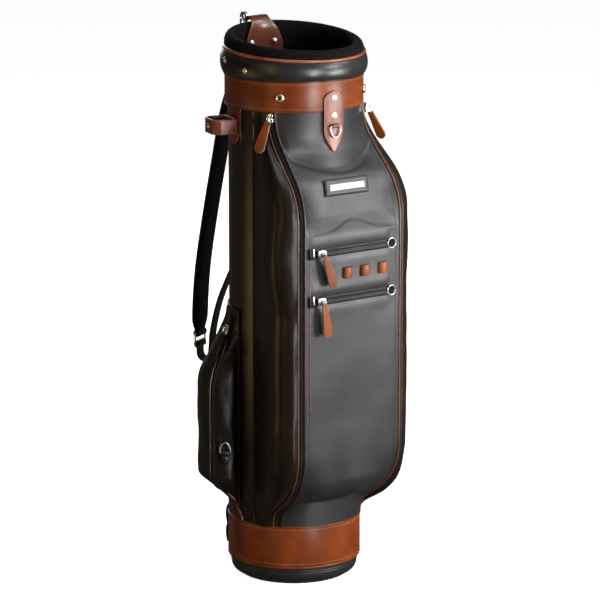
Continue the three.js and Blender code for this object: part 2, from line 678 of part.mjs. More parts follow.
function buildSidePocket() {
  const rows = 26;
  const zAt = (row) => mix(SIDE_LOW_Z - 4, SIDE_TOP_Z + 6, row / rows);
  add("side_pocket", sheet((u, v) => sidePoint(u, zAt(rows * v)), 20, rows, PANEL_WALL), BLACK);

  // The zip runs up the side that faces the front pocket and over the sloping top.
  const lifted = (u, z) => {
    const du = sidePoint(u + 1e-3, z).sub(sidePoint(u - 1e-3, z));
    const dz = sidePoint(u, z + 0.1).sub(sidePoint(u, z - 0.1));
    return sidePoint(u, z).addScaledVector(du.cross(dz).normalize(), GAP + 1.9);
  };
  const [tapeIn, tapeOut] = [0.775, 0.83];
  const [first, last] = [2, 25]; // rows that the zip runs between
  const tape = sheet((u, v) => lifted(mix(tapeIn, tapeOut, u), zAt(mix(first, last, v))), 1, last - first, 1.4);
  add("pocket_zip", tape, PLASTIC);

  // Its slider rests where the straight slope of the top begins.
  const middle = (tapeIn + tapeOut) / 2;
  const top = 397;
  const at = lifted(middle, top);
  const along = lifted(middle, top + 2).sub(lifted(middle, top - 2)).normalize();
  const width = lifted(tapeOut, top).sub(lifted(tapeIn, top)).normalize();
  const out = new THREE.Vector3().crossVectors(width, along).normalize();
  const base = at.addScaledVector(out, 1.2);
  const place = placeAt(base, new THREE.Vector3().crossVectors(along, out), out);
  add("pocket_slider", sliderGeometry(), CHROME, place);
  const hinge = base.clone().addScaledVector(out, WIRE_LIFT);
  const hang = along.clone().addScaledVector(out, -0.12).normalize();
  add("pocket_pull", pullGeometry(true), BLACK, placeAt(hinge, hang, out));

  // A riveted tab low on the same side holds a D-ring that stands up from its top fold.
  const ringZ = 207;
  const side = lifted(0.89, ringZ);
  const face = lifted(0.905, ringZ).sub(lifted(0.875, ringZ)).cross(UP).normalize();
  const tabOutline = [[-6, 2], [-6, -15], [-4, -18], [4, -18], [6, -15], [6, 2]];
  const fold = cylinder(4.2, 12, 12).rotateY(Math.PI / 2).translate(0, 2.4, 2);
  const bore = cylinder(1.9, 30, 12).rotateY(Math.PI / 2).translate(0, 2.4, 2);
  const stud = rivetGeometry(3.6).translate(0, 0.4, -11);
  const leather = solid(plate(tabOutline, 2.2).translate(0, -0.6, 0)).add(solid(stud)).add(solid(fold));
  const tabPlace = placeAt(side.clone().addScaledVector(face, 3.2), UP, face);
  add("pocket_ring_tab", geometryOf(leather.subtract(solid(bore))), TAN, tabPlace);
  const ring = wireLoop(bowOutline(17, 17), 1.4).rotateY(Math.PI).translate(0, 2.4, 2);
  add("pocket_ring", ring, CHROME, tabPlace.clone());
}

// ---- Shoulder strap ----
const LUG_CURVE = 170; // the lug follows the mouth: its middle stands back by x² over this
const STRAP_OUT = new THREE.Vector3(Math.cos(rad(STRAP_DEG)), Math.sin(rad(STRAP_DEG)), 0);
const STRAP_SIDE = new THREE.Vector3(-STRAP_OUT.y, STRAP_OUT.x, 0);

// The strap's lines as [out from the swing axis, z]. Each end is folded round a bar and bored for it.
const UPPER_BAR = [0, HOOK_TOP_Z - 53];
const LOWER_BAR = [0, HOOK_LOW_Z - 53];
const LINK_UPPER_BAR = [80, 352];
const LINK_LOWER_BAR = [80, 334];
const PAD_LINE = [[0, 818], [14, 768], [30, 714], [42, 650], [58, 563], [73, 470], [79, 401], [80, 347]];
const LOWER_LINE = [[80, 338], [79, 316], [69, 308], [60, 321], [56, 360], [44, 408], [26, 452], [8, 490], [0, 518]];

// A ribbon along a line of [out, z] points, `widthAt(v)` wide, facing away from the bag.
function ribbon(line, widthAt, thickness, along) {
  const curve = new THREE.CatmullRomCurve3(line.map(([out, z]) => new THREE.Vector3(out, z, 0)));
  const middle = (v) => {
    const p = curve.getPoint(v);
    return new THREE.Vector3(0, SWING_Y, 0).addScaledVector(STRAP_OUT, p.x).setZ(p.y);
  };
  const face = (u, v) => middle(v).addScaledVector(STRAP_SIDE, -(u - 0.5) * widthAt(v));
  const centred = (u, v) => {
    const step = 1e-3;
    const along1 = middle(Math.min(1, v + step)).sub(middle(Math.max(0, v - step)));
    const normal = new THREE.Vector3().crossVectors(STRAP_SIDE, along1).normalize();
    return face(u, v).addScaledVector(normal, -thickness / 2);
  };
  return sheet(centred, 2, along, thickness);
}

// Strap points are [out, z] in the strap's plane.
function strapPoint([out, z]) {
  return new THREE.Vector3(0, SWING_Y, z).addScaledVector(STRAP_OUT, out);
}

// Thickens a strap's end into a fold round the bar at `at`, and bores it for the bar.
function foldRound(strap, ats, width) {
  let body = solid(strap);
  const place = (at) => placeAt(strapPoint(at), STRAP_SIDE, STRAP_OUT);
  for (const at of ats) body = body.add(solid(cylinder(4.6, width, 14).applyMatrix4(place(at))));
  for (const at of ats) body = body.subtract(solid(cylinder(2.3, 60, 14).applyMatrix4(place(at))));
  return geometryOf(body);
}

// A swivel snap hook: a hook round the ring's wire at `at`, a swivel barrel below it, and an eye whose
// lower bar the strap is folded round.
function hookGeometry(z) {
  const [outer, inner] = [9.2, 5.2];
  const hook = [];
  for (let i = 0; i <= 14; i++) {
    const turn = rad(mix(-65, 215, i / 14));
    hook.push([outer * Math.cos(turn), outer * Math.sin(turn)]);
  }
  for (let i = 14; i >= 0; i--) {
    const turn = rad(mix(-65, 215, i / 14));
    hook.push([inner * Math.cos(turn), inner * Math.sin(turn)]);
  }
  const shank = joined(plate(hook, 4), box(5.5, 4, 18, -6.4, 0, -13), box(17, 7, 5, -0.6, 0, -23));
  shank.applyMatrix4(placeAt(new THREE.Vector3(0, SWING_Y, z), UP, new THREE.Vector3(1, 0, 0)));
  const barrel = cylinder(5, 14, 14).translate(0, SWING_Y, z - 31);
  const eye = wireLoop([[17, -53], [17, -38.5], [-17, -38.5], [-17, -53]], 1.9);
  eye.applyMatrix4(placeAt(new THREE.Vector3(0, SWING_Y, z), UP, STRAP_OUT));
  return joined(shank, barrel, eye);
}

function buildStrap() {
  const ringWidth = 30;
  const ringReach = 21;
  const backwards = new THREE.Vector3(0, -1, 0);

  // Upper anchor: a leather lug riveted inside the mouth, folded over the rim round a D-ring's bar.
  const lugLine = [[87.5, 802], [86.5, 838], [87, 858], [93.5, 868.8], [103, 870.5], [107, 865.5]];
  const curve = new THREE.CatmullRomCurve3(lugLine.map(([y, z]) => new THREE.Vector3(0, y, z)));
  const lug = sheet(
    (u, v) => {
      const p = curve.getPoint(v);
      const half = mix(36, 17, THREE.MathUtils.smoothstep(v, 0.1, 0.6));
      const x = mix(half, -half, u);
      return p.setX(x).setY(p.y - (x * x) / LUG_CURVE);
    },
    6, 16, 2.6,
  );
  add("strap_lug", lug, TAN);
  for (const [name, x] of [["lug_rivet_left", -22], ["lug_rivet_right", 22]]) {
    const facing = new THREE.Vector3((-2 * x) / LUG_CURVE, -1, 0).normalize();
    const at = new THREE.Vector3(x, 86.5 - (x * x) / LUG_CURVE, 833).addScaledVector(facing, 2.6 + GAP);
    add(name, rivetGeometry(4.6), CHROME, placeAt(at, UP, facing));
  }
  const ring = wireLoop(bowOutline(ringWidth, ringReach), 1.8);
  const ringPlace = placeAt(new THREE.Vector3(0, SWING_Y - ringReach, HOOK_TOP_Z), backwards, UP);
  add("strap_ring_upper", ring, STEEL, ringPlace);
  add("strap_hook_upper", hookGeometry(HOOK_TOP_Z), STEEL);

  // Lower anchor: a leather chape on the cover, holding the lower D-ring.
  const chape = [[-16, -22], [16, -22], [16, 10], [-16, 10]];
  const chapePlace = placeAt(new THREE.Vector3(0, COVER_R + 2.4, HOOK_LOW_Z), UP, new THREE.Vector3(0, 1, 0));
  const fold = cylinder(5.2, 30, 12).rotateY(Math.PI / 2).translate(0, 4.5, 0);
  const bore = cylinder(2.4, 40, 12).rotateY(Math.PI / 2).translate(0, 4.5, 0);
  const chapeSolid = solid(plate(chape, 3.4)).add(solid(fold)).subtract(solid(bore));
  add("strap_chape_lower", geometryOf(chapeSolid), TAN, chapePlace);
  const lowReach = SWING_Y - COVER_R - 6.9;
  const lowRing = wireLoop(bowOutline(ringWidth + 6, lowReach), 1.8);
  const lowPlace = placeAt(new THREE.Vector3(0, SWING_Y - lowReach, HOOK_LOW_Z), backwards, UP);
  add("strap_ring_lower", lowRing, STEEL, lowPlace);
  add("strap_hook_lower", hookGeometry(HOOK_LOW_Z), STEEL);

  const padWidth = (v) => {
    const ends = Math.min(1, v / 0.16, (1 - v) / 0.08);
    return mix(STRAP_NARROW, STRAP_WIDE, ends * ends * (3 - 2 * ends));
  };
  const pad = ribbon(PAD_LINE, padWidth, STRAP_THICK, 26);
  add("strap_pad", foldRound(pad, [UPPER_BAR, LINK_UPPER_BAR], STRAP_NARROW - 2), BLACK);
  const lower = ribbon(LOWER_LINE, () => STRAP_NARROW - 4, 3.4, 26);
  add("strap_lower", foldRound(lower, [LINK_LOWER_BAR, LOWER_BAR], STRAP_NARROW - 6), BLACK);
  const link = wireLoop([[18, -9], [18, 9], [-18, 9], [-18, -9]], 1.9);
  add("strap_link", link, STEEL, placeAt(strapPoint([80, 343]), UP, STRAP_OUT));
}

buildBase();
buildBody();
buildMouth();
buildFrontPocket();
buildFaceZips();
buildSideSliders();
buildFaceFittings();
buildCollarFittings();
buildUmbrellaHolder();
buildSidePocket();
buildStrap();

export default bag;
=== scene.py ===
"""The looks of a leather golf staff bag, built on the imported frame.

Lengths are in millimetres in the frame's axes (+Z up, -Y out of the front pocket) and become metres where
a mesh is made. Soft and leather pieces are remade here with their seams, pipings and stitches. Hardware is
a rounded copy of its CAD node.
"""

import json
from math import copysign, cos, exp, hypot, pi, radians, sin, sqrt
from math import degrees as in_degrees

import bmesh
import bpy
import numpy as np
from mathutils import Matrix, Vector, noise

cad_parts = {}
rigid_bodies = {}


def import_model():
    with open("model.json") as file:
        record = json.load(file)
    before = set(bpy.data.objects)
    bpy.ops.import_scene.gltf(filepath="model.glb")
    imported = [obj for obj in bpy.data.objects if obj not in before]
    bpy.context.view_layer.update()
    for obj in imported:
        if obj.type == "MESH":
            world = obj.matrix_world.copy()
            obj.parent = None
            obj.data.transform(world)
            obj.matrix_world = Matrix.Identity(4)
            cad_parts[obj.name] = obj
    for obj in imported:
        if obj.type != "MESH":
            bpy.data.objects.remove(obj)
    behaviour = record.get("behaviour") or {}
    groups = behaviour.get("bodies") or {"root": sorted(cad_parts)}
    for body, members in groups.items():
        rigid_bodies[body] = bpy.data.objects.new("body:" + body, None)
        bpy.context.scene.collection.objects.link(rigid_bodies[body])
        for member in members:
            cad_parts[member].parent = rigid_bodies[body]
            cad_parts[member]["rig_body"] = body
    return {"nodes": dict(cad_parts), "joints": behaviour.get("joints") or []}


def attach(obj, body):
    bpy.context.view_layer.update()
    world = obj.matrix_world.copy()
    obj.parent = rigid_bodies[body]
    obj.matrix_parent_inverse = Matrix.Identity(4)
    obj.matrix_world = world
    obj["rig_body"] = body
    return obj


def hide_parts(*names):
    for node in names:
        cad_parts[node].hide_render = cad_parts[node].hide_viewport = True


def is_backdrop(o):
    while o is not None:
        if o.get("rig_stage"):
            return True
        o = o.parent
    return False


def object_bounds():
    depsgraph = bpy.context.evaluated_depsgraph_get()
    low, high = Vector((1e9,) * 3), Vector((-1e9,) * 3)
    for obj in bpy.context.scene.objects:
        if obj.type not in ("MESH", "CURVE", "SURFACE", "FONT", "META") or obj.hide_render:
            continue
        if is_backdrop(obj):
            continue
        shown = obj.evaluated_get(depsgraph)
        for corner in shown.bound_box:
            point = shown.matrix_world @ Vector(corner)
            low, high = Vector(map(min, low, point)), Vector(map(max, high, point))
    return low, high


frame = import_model()
cad_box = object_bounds()

MM = 0.001
RIGHT = np.array([1.0, 0.0, 0.0])
UP = np.array([0.0, 0.0, 1.0])

# ---- Sizes that the looks share with the frame ----
COVER_R = 101.5
PANEL_R = 104.4
BAND_R = 104.4
BAND_Z = (31.6, 96.0)
COLLAR_R = 107.2
COLLAR_Z = (750.0, 797.0)
ROLL_R = 113.0
ROLL_Z = (797.4, 832.5)
SLANT = 0.2
MOUTH_R = 88.4
FACE_Y = -154.0
FACE_HALF = 90.3
PANEL_EDGE = 52.0
ZIP_DEGREES = (53.0, 58.6)
ZIP_FULL = ((92.2, -152.8), (98.4, -148.6))
GUSSET_DEGREES = (58.9, 72.4)
GUSSET_SECTION = [
    (98.9, -148.1), (107, -143.5), (114.5, -134), (118, -119), (116.5, -92), (108.5, -60), (99.3, -31.5),
]
POCKET_Z = (100.0, 757.0)
CREASE_LOW_Z = 136.0
TUCK = 5.0
POCKET_DEPTH = 92.6
TOP_BEND = (95, 95, 45)
LOW_BEND = (32, 100, 60)
CREASE_DEPTH = 49.6
CREASE_BEND = (4, 42, 72)
SIDE_DEG = -118.0
SIDE_Z = (119.0, 428.0)
SIDE_DEPTH = 48
SIDE_TOP_BEND = (60, 90, 28)
SIDE_LOW_BEND = (10, 8, 51)
SLIDER_Z = 740.0
SNAP_Z, SNAP_DEG = 772, 47.5
CHAPE_Z = 552.0
SWING_Y = 133.0
STRAP_DEG = 120.4


# ---- Camera, floor and lights ----
def look_at(obj, target):
    obj.rotation_euler = (Vector(target) - obj.location).to_track_quat("-Z", "Y").to_euler()


def linked(name, data):
    obj = bpy.data.objects.new(name, data)
    bpy.context.scene.collection.objects.link(obj)
    return obj


def add_camera(azimuth=-36.0, elevation=12.62, distance=5.329, lens=204.5, target=(0.0076, -0.0055, 0.4358)):
    a, e = radians(azimuth), radians(elevation)
    towards = Vector((sin(a) * cos(e), -cos(a) * cos(e), sin(e)))
    data = bpy.data.cameras.new("camera")
    data.lens = lens
    data.clip_end = 100
    camera = linked("camera", data)
    camera.location = Vector(target) + towards * distance
    look_at(camera, target)
    bpy.context.scene.camera = camera


def add_light(name, location, target, size, watts, colour=(1, 1, 1)):
    data = bpy.data.lights.new(name, "AREA")
    data.shape = "RECTANGLE"
    data.size, data.size_y = size
    data.energy = watts
    data.color = colour
    light = linked(name, data)
    light.location = location
    look_at(light, target)


def add_studio():
    corners = [(-9, -9, 0), (9, -9, 0), (9, 9, 0), (-9, 9, 0)]
    walls = [(x, y, 7) for x, y, _ in corners]
    floor = new_object("floor", corners, [(0, 1, 2, 3)], 1.0)
    backdrop = new_object(
        "backdrop", corners + walls, [(k, (k + 1) % 4, 4 + (k + 1) % 4, 4 + k) for k in range(4)], 1.0
    )
    for obj, colour, glow in ((floor, 0.93, 0.88), (backdrop, 0.0, 1.0)):
        material, shader, _ = new_material(f"{obj.name}_white", (colour,) * 3, 0.9)
        shader.inputs["Emission Color"].default_value = (1, 1, 1, 1)
        shader.inputs["Emission Strength"].default_value = glow
        obj.data.materials.append(material)
        obj.visible_glossy = obj.visible_diffuse = False
        obj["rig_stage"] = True
    backdrop.visible_shadow = False
    world = bpy.data.worlds.new("studio")
    world.use_nodes = True
    background = world.node_tree.nodes["Background"].inputs
    background["Color"].default_value = (1, 0.93, 0.86, 1)
    background["Strength"].default_value = 0.07
    bpy.context.scene.world = world
    bpy.context.scene.view_settings.view_transform = "Standard"
    add_light("key", (1.7, -3.0, 1.9), (0, 0, 0.45), (0.4, 0.7), 56)
    add_light("face_glow", (0.72, -1.15, 0.5), (0, -0.1, 0.66), (0.5, 0.35), 14)
    add_light("strip_front", (-0.15, -2.3, 0.36), (0, 0, 0.45), (0.26, 1.2), 38)
    add_light("shoulder", (1.7, -1.5, 2.5), (0, -0.1, 0.7), (1.2, 0.8), 28)
    add_light("right", (3.0, -0.6, 1.2), (0, 0, 0.5), (0.8, 2.4), 2)
    add_light("strip_left", (-2.6, -0.9, 0.9), (0, 0, 0.45), (0.45, 2.0), 8, (1, 0.68, 0.26))
    add_light("olive", (-1.0, 0.42, 0.29), (-0.1, -0.1, 0.4), (0.36, 0.5), 1.2, (1, 0.66, 0.26))
    add_light("top", (0.3, -0.5, 3.4), (0, 0, 0.8), (1.4, 1.4), 26)
    add_light("back", (1.2, 3.0, 1.5), (0, 0, 0.5), (1.4, 2.0), 34)


# ---- Materials ----
def new_material(name, colour, roughness, metallic=0.0):
    material = bpy.data.materials.new(name)
    material.use_nodes = True
    tree = material.node_tree
    shader = tree.nodes["Principled BSDF"]
    shader.inputs["Base Color"].default_value = (*colour, 1)
    shader.inputs["Roughness"].default_value = roughness
    shader.inputs["Metallic"].default_value = metallic
    return material, shader, tree


def texture_node(tree, kind, **settings):
    place = tree.nodes.new("ShaderNodeTexCoord")
    texture = tree.nodes.new(f"ShaderNodeTex{kind}")
    for name, value in settings.items():
        texture.inputs[name].default_value = value
    tree.links.new(place.outputs["Object"], texture.inputs["Vector"])
    return texture


def ramp(tree, source, stops):
    node = tree.nodes.new("ShaderNodeValToRGB")
    while len(node.color_ramp.elements) < len(stops):
        node.color_ramp.elements.new(0.5)
    for element, (at, colour) in zip(node.color_ramp.elements, stops):
        element.position = at
        element.color = (*(colour if isinstance(colour, tuple) else (colour,) * 3), 1)
    tree.links.new(source, node.inputs["Fac"])
    return node.outputs["Color"]


def bump(tree, shader, height, strength, distance):
    node = tree.nodes.new("ShaderNodeBump")
    node.inputs["Strength"].default_value = strength
    node.inputs["Distance"].default_value = distance
    tree.links.new(height, node.inputs["Height"])
    tree.links.new(node.outputs["Normal"], shader.inputs["Normal"])


def leather(name, dark, light, roughness, grain=0.35, coat=0.0, grain_scale=900.0, specular=0.5):
    """Pebbled leather: cells for the grain, a slow noise for its colour and its polish."""
    material, shader, tree = new_material(name, light, roughness)
    slow = texture_node(tree, "Noise", Scale=22.0, Detail=4.0, Distortion=0.4)
    tree.links.new(ramp(tree, slow.outputs["Fac"], [(0.3, dark), (0.7, light)]), shader.inputs["Base Color"])
    polish = ramp(tree, slow.outputs["Fac"], [(0.3, roughness + 0.06), (0.75, roughness - 0.05)])
    tree.links.new(polish, shader.inputs["Roughness"])
    cells = texture_node(tree, "Voronoi", Scale=grain_scale)
    bump(tree, shader, cells.outputs["Distance"], grain, 0.0003)
    shader.inputs["Specular IOR Level"].default_value = specular
    shader.inputs["Coat Weight"].default_value = coat
    shader.inputs["Coat Roughness"].default_value = 0.22
    return material


def metal(name, colour, roughness):
    material, shader, tree = new_material(name, colour, roughness, 1.0)
    scratches = texture_node(tree, "Noise", Scale=420.0, Detail=5.0, Distortion=0.8)
    level = ramp(tree, scratches.outputs["Fac"], [(0.35, roughness - 0.05), (0.7, roughness + 0.1)])
    tree.links.new(level, shader.inputs["Roughness"])
    bump(tree, shader, scratches.outputs["Fac"], 0.08, 0.0001)
    return material


def fabric(name, dark, light, scale, strength=0.6):
    """Thread, tape or pile: one fine noise for its colour and its relief."""
    material, shader, tree = new_material(name, light, 0.92)
    fine = texture_node(tree, "Noise", Scale=scale, Detail=5.0, Distortion=0.3)
    tree.links.new(ramp(tree, fine.outputs["Fac"], [(0.35, dark), (0.7, light)]), shader.inputs["Base Color"])
    bump(tree, shader, fine.outputs["Fac"], strength, 0.0008)
    shader.inputs["Specular IOR Level"].default_value = 0.15
    return material


BLACK = leather("black_leather", (0.015, 0.015, 0.016), (0.022, 0.022, 0.024), 0.42, 0.3)
ROLL = leather("black_leather_polished", (0.013, 0.013, 0.013), (0.020, 0.020, 0.021), 0.34, 0.22, 0.08)
GUSSET = leather(
    "black_leather_warm", (0.006, 0.004, 0.002), (0.013, 0.009, 0.005), 0.34, 0.18, specular=0.28
)
GLOSS = leather(
    "black_leather_smooth", (0.006, 0.004, 0.003), (0.012, 0.008, 0.006), 0.36, 0.18, 0.15, specular=0.35
)
# A darker copy of the black leather for the zip lips: painted shade for the recess along each zip.
SHADED_LIPS = leather("zip_lip_leather_painted_shade", (0.006, 0.006, 0.006), (0.011, 0.011, 0.012), 0.5, 0.2, specular=0.25)
SHADE = leather("black_leather_dull", (0.002, 0.002, 0.002), (0.005, 0.005, 0.005), 0.6, 0.18, specular=0.2)
TAN = leather("tan_leather", (0.115, 0.020, 0.004), (0.225, 0.048, 0.009), 0.31, 0.22, specular=0.34)
PULL = leather("pull_leather", (0.12, 0.026, 0.005), (0.30, 0.075, 0.014), 0.40, 0.30, specular=0.32)
DARK_TAN = leather("dark_tan_leather", (0.075, 0.016, 0.007), (0.16, 0.038, 0.016), 0.32, 0.22, 0.2)
CHESTNUT = leather("chestnut_leather", (0.14, 0.028, 0.010), (0.25, 0.060, 0.022), 0.33, 0.28, specular=0.45)
# A darker copy of the chestnut leather for the low pieces near the floor: chestnut is their own colour, the
# extra darkness is painted shade.
SHADED_CHESTNUT = leather("chestnut_leather_painted_shade", (0.030, 0.006, 0.004), (0.070, 0.014, 0.008), 0.42, 0.2)
PIPING = leather("piping_leather", (0.09, 0.024, 0.011), (0.20, 0.060, 0.030), 0.26, 0.15, 0.3)
# A lighter copy of the piping leather for the rim: piping is its own colour, the extra lightness is a painted
# highlight where the rim catches the light.
LIT_RIM_PIPING = leather("rim_piping_leather_painted_highlight", (0.19, 0.055, 0.024), (0.36, 0.125, 0.060), 0.26, 0.15, 0.3)
# A darker copy of the piping leather: painted shade on the pipings that face away from the lamps.
SHADED_PIPING = leather("piping_leather_painted_shade", (0.012, 0.006, 0.006), (0.032, 0.013, 0.012), 0.30, 0.15, 0.3)
EDGE = leather("leather_edge", (0.26, 0.13, 0.07), (0.42, 0.24, 0.14), 0.45, 0.15)
THREAD = fabric("thread", (0.30, 0.17, 0.09), (0.50, 0.31, 0.18), 2500.0)
DARK_THREAD = fabric("dark_thread", (0.02, 0.018, 0.016), (0.05, 0.045, 0.04), 2500.0)
FUR = fabric("fur", (0.0012, 0.0011, 0.001), (0.008, 0.007, 0.0065), 700.0, 1.0)
TAPE = fabric("zip_tape", (0.006, 0.006, 0.006), (0.016, 0.016, 0.016), 1800.0, 0.5)
PLASTIC = leather("moulded_plastic", (0.010, 0.010, 0.010), (0.020, 0.020, 0.021), 0.42, 0.12, 0.0, 500.0)
NICKEL = metal("nickel", (0.78, 0.77, 0.74), 0.20)
PLATE = metal("brushed_plate", (0.22, 0.23, 0.24), 0.34)
GUNMETAL = metal("gunmetal", (0.34, 0.34, 0.35), 0.28)
STUD = metal("worn_nickel", (0.85, 0.83, 0.80), 0.45)
BRASS = metal("pale_brass", (0.74, 0.62, 0.42), 0.22)
STEEL = metal("steel", (0.52, 0.52, 0.53), 0.30)

SLOTS = {
    material: slot
    for slot, materials in (
        ("black_leather", (BLACK, ROLL, GLOSS, GUSSET, SHADED_LIPS, SHADE, DARK_THREAD)),
        ("tan_leather", (TAN, DARK_TAN, PULL, CHESTNUT, SHADED_CHESTNUT, EDGE, THREAD)),
        ("tan_leather", (PIPING, SHADED_PIPING, LIT_RIM_PIPING)),
        ("bright_metal", (PLATE, STUD, NICKEL)),
        ("steel", (GUNMETAL, STEEL)),
        ("brass", (BRASS,)),
        ("plastic", (TAPE, PLASTIC)),
        ("fur", (FUR,)),
    )
    for material in materials
}


# ---- Mesh helpers ----
def new_object(name, vertices, faces, scale=MM):
    mesh = bpy.data.meshes.new(name)
    mesh.from_pydata([tuple(float(c) * scale for c in v) for v in vertices], [], faces)
    return linked(name, mesh)


def finish(obj, material, body, replaces=(), sharp=38.0):
    """Gives a piece its material, smooth shading and body."""
    mesh = bmesh.new()
    mesh.from_mesh(obj.data)
    bmesh.ops.recalc_face_normals(mesh, faces=mesh.faces)
    mesh.to_mesh(obj.data)
    mesh.free()
    obj.data.shade_smooth()
    obj.data.set_sharp_from_angle(angle=radians(sharp))
    obj.data.materials.append(material)
    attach(obj, body)
    if replaces:
        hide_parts(*([replaces] if isinstance(replaces, str) else replaces))
    return obj


def piece(name, shape, material, body="bag", replaces=(), sharp=38.0):
    vertices, faces = shape
    return finish(new_object(name, vertices, faces), material, body, replaces, sharp)


def remake(node, shape, material, sharp=38.0):
    """A piece that stands in for a CAD node, on the same body."""
    return piece(f"{node}_look", shape, material, frame["nodes"][node]["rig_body"], node, sharp)


def merged(*shapes):
    """Several closed shapes as one mesh's vertices and faces."""
    vertices, faces = [], []
    for points, polygons in shapes:
        start = len(vertices)
        vertices.extend(points)
        faces.extend(tuple(start + i for i in polygon) for polygon in polygons)
    return vertices, faces


def around(degrees, radius, z):
    turn = radians(degrees)
    return np.array([radius * sin(turn), -radius * cos(turn), z])


def mix(a, b, t):
    return a + (b - a) * t


def smoothstep(x, low, high):
    t = min(1.0, max(0.0, (x - low) / (high - low)))
    return t * t * (3 - 2 * t)


def bell(x, width):
    return exp(-((x / width) ** 2))


def unit(vector):
    return vector / np.linalg.norm(vector)


def square_to(direction):
    return unit(np.cross(direction, UP if abs(direction[2]) < 0.9 else RIGHT))


def circle(count):
    """The cosine and sine of `count` equal turns."""
    turns = [2 * pi * k / count for k in range(count)]
    return [(cos(turn), sin(turn)) for turn in turns]


def arc(centre, radius, start, sweep, steps):
    """Points on an arc from `start` degrees, with both ends."""
    turns = [radians(start + sweep * k / steps) for k in range(steps + 1)]
    return [(centre[0] + radius * cos(turn), centre[1] + radius * sin(turn)) for turn in turns]


def normals_of(points):
    du = np.gradient(points, axis=1)
    dv = np.gradient(points, axis=0)
    n = np.cross(du, dv)
    return n / np.maximum(np.linalg.norm(n, axis=2, keepdims=True), 1e-9)


def sheet(point, across, along, thickness, relief=None):
    """A closed shell of even thickness over point(u, v), with relief(u, v, point) raised along its normal."""
    us, vs = np.linspace(0, 1, across + 1), np.linspace(0, 1, along + 1)
    outer = np.array([[point(u, v) for u in us] for v in vs])
    normal = normals_of(outer)
    inner = outer - thickness * normal
    if relief:
        lifts = np.array([[relief(u, v, outer[j, i]) for i, u in enumerate(us)] for j, v in enumerate(vs)])
        outer = outer + lifts[:, :, None] * normal
    columns = across + 1
    count = (along + 1) * columns
    at = lambda i, j: j * columns + i
    faces = []
    for j in range(along):
        for i in range(across):
            faces.append((at(i, j), at(i + 1, j), at(i + 1, j + 1), at(i, j + 1)))
            faces.append(tuple(count + k for k in (at(i, j + 1), at(i + 1, j + 1), at(i + 1, j), at(i, j))))
    loop = [at(i, 0) for i in range(across)] + [at(across, j) for j in range(along)]
    loop += [at(i, along) for i in range(across, 0, -1)] + [at(0, j) for j in range(along, 0, -1)]
    for k, a in enumerate(loop):
        b = loop[(k + 1) % len(loop)]
        faces.append((b, a, count + a, count + b))
    return [*outer.reshape(-1, 3), *inner.reshape(-1, 3)], faces


def strip(rings, sides, closed):
    """Quads between rings of points, with a cap on the first and last ring unless they close up."""
    faces = []
    for r in range(rings if closed else rings - 1):
        a, b = r * sides, (r + 1) % rings * sides
        faces += [(a + s, a + (s + 1) % sides, b + (s + 1) % sides, b + s) for s in range(sides)]
    if not closed:
        faces += [tuple(range(sides))[::-1], tuple(range((rings - 1) * sides, rings * sides))]
    return faces


def lathe(profile, segments, ripple=None):
    """A closed profile of (radius, z), turned about Z. ripple(degrees, radius, z) is added to the radius."""
    vertices = []
    for k in range(segments):
        degrees = 360 * k / segments
        for radius, z in profile:
            vertices.append(around(degrees, radius + (ripple(degrees, radius, z) if ripple else 0), z))
    return vertices, strip(segments, len(profile), True)


def round_profile(inner, outer, low, high, corner):
    """A ring's section with its two outer corners rounded."""
    rounding = arc((outer - corner, low + corner), corner, -90, 90, 4)
    rounding += arc((outer - corner, high - corner), corner, 0, 90, 4)
    return [(inner, high), (inner, low), *rounding]


def frames_along(points, closed):
    """Unit tangents, and normals carried along without twist."""
    points = np.asarray(points, float)
    if closed:
        tangent = np.roll(points, -1, 0) - np.roll(points, 1, 0)
    else:
        tangent = np.gradient(points, axis=0)
    tangent /= np.linalg.norm(tangent, axis=1, keepdims=True)
    normals = [square_to(tangent[0])]
    for t in tangent[1:]:
        normals.append(unit(normals[-1] - t * np.dot(normals[-1], t)))
    return points, tangent, np.array(normals)


def tube(points, radius, sides=10, closed=False):
    points, tangent, normal = frames_along(points, closed)
    across = np.cross(tangent, normal)
    rings = [(p, radius, k) for k, p in enumerate(points)]
    if not closed:  # rounded ends
        lead = [(-0.95, 0.3), (-0.7, 0.72)]
        start = [(points[0] + tangent[0] * radius * d, radius * s, 0) for d, s in lead]
        end = [(points[-1] - tangent[-1] * radius * d, radius * s, len(points) - 1) for d, s in lead[::-1]]
        rings = start + rings + end
    vertices = []
    for centre, size, k in rings:
        vertices += [centre + size * (c * normal[k] + s * across[k]) for c, s in circle(sides)]
    return vertices, strip(len(rings), sides, closed)


def resample(points, step, closed=False):
    points = np.asarray(points, float)
    if closed:
        points = np.vstack([points, points[:1]])
    length = np.concatenate([[0], np.cumsum(np.linalg.norm(np.diff(points, axis=0), axis=1))])
    count = max(2, int(round(length[-1] / step)))
    at = np.linspace(0, length[-1], count + 1)[: count if closed else count + 1]
    return np.stack([np.interp(at, length, points[:, k]) for k in range(3)], axis=1)


def stitches(points, closed, pitch, length, radius):
    """A row of thread stitches on a line that already lies on the surface."""
    line = resample(points, pitch, closed)
    _, tangent, normal = frames_along(line, closed)
    shapes = []
    for p, t, n in zip(line, tangent, normal):
        side = np.cross(t, n)
        vertices = [p - t * length / 2, p + t * length / 2]
        for along in (-0.28, 0.28):
            vertices += [p + t * along * length + radius * (c * n + s * side) for c, s in circle(6)]
        faces = []
        for k in range(6):
            m = (k + 1) % 6
            faces += [(0, 2 + m, 2 + k), (2 + k, 2 + m, 8 + m, 8 + k), (1, 8 + k, 8 + m)]
        shapes.append((vertices, faces))
    return merged(*shapes)


def sew(name, line, pitch=4.2, length=2.8, radius=0.32, material=DARK_THREAD, closed=False, body="bag"):
    """A piece for one row of stitches."""
    piece(name, stitches(line, closed, pitch, length, radius), material, body)


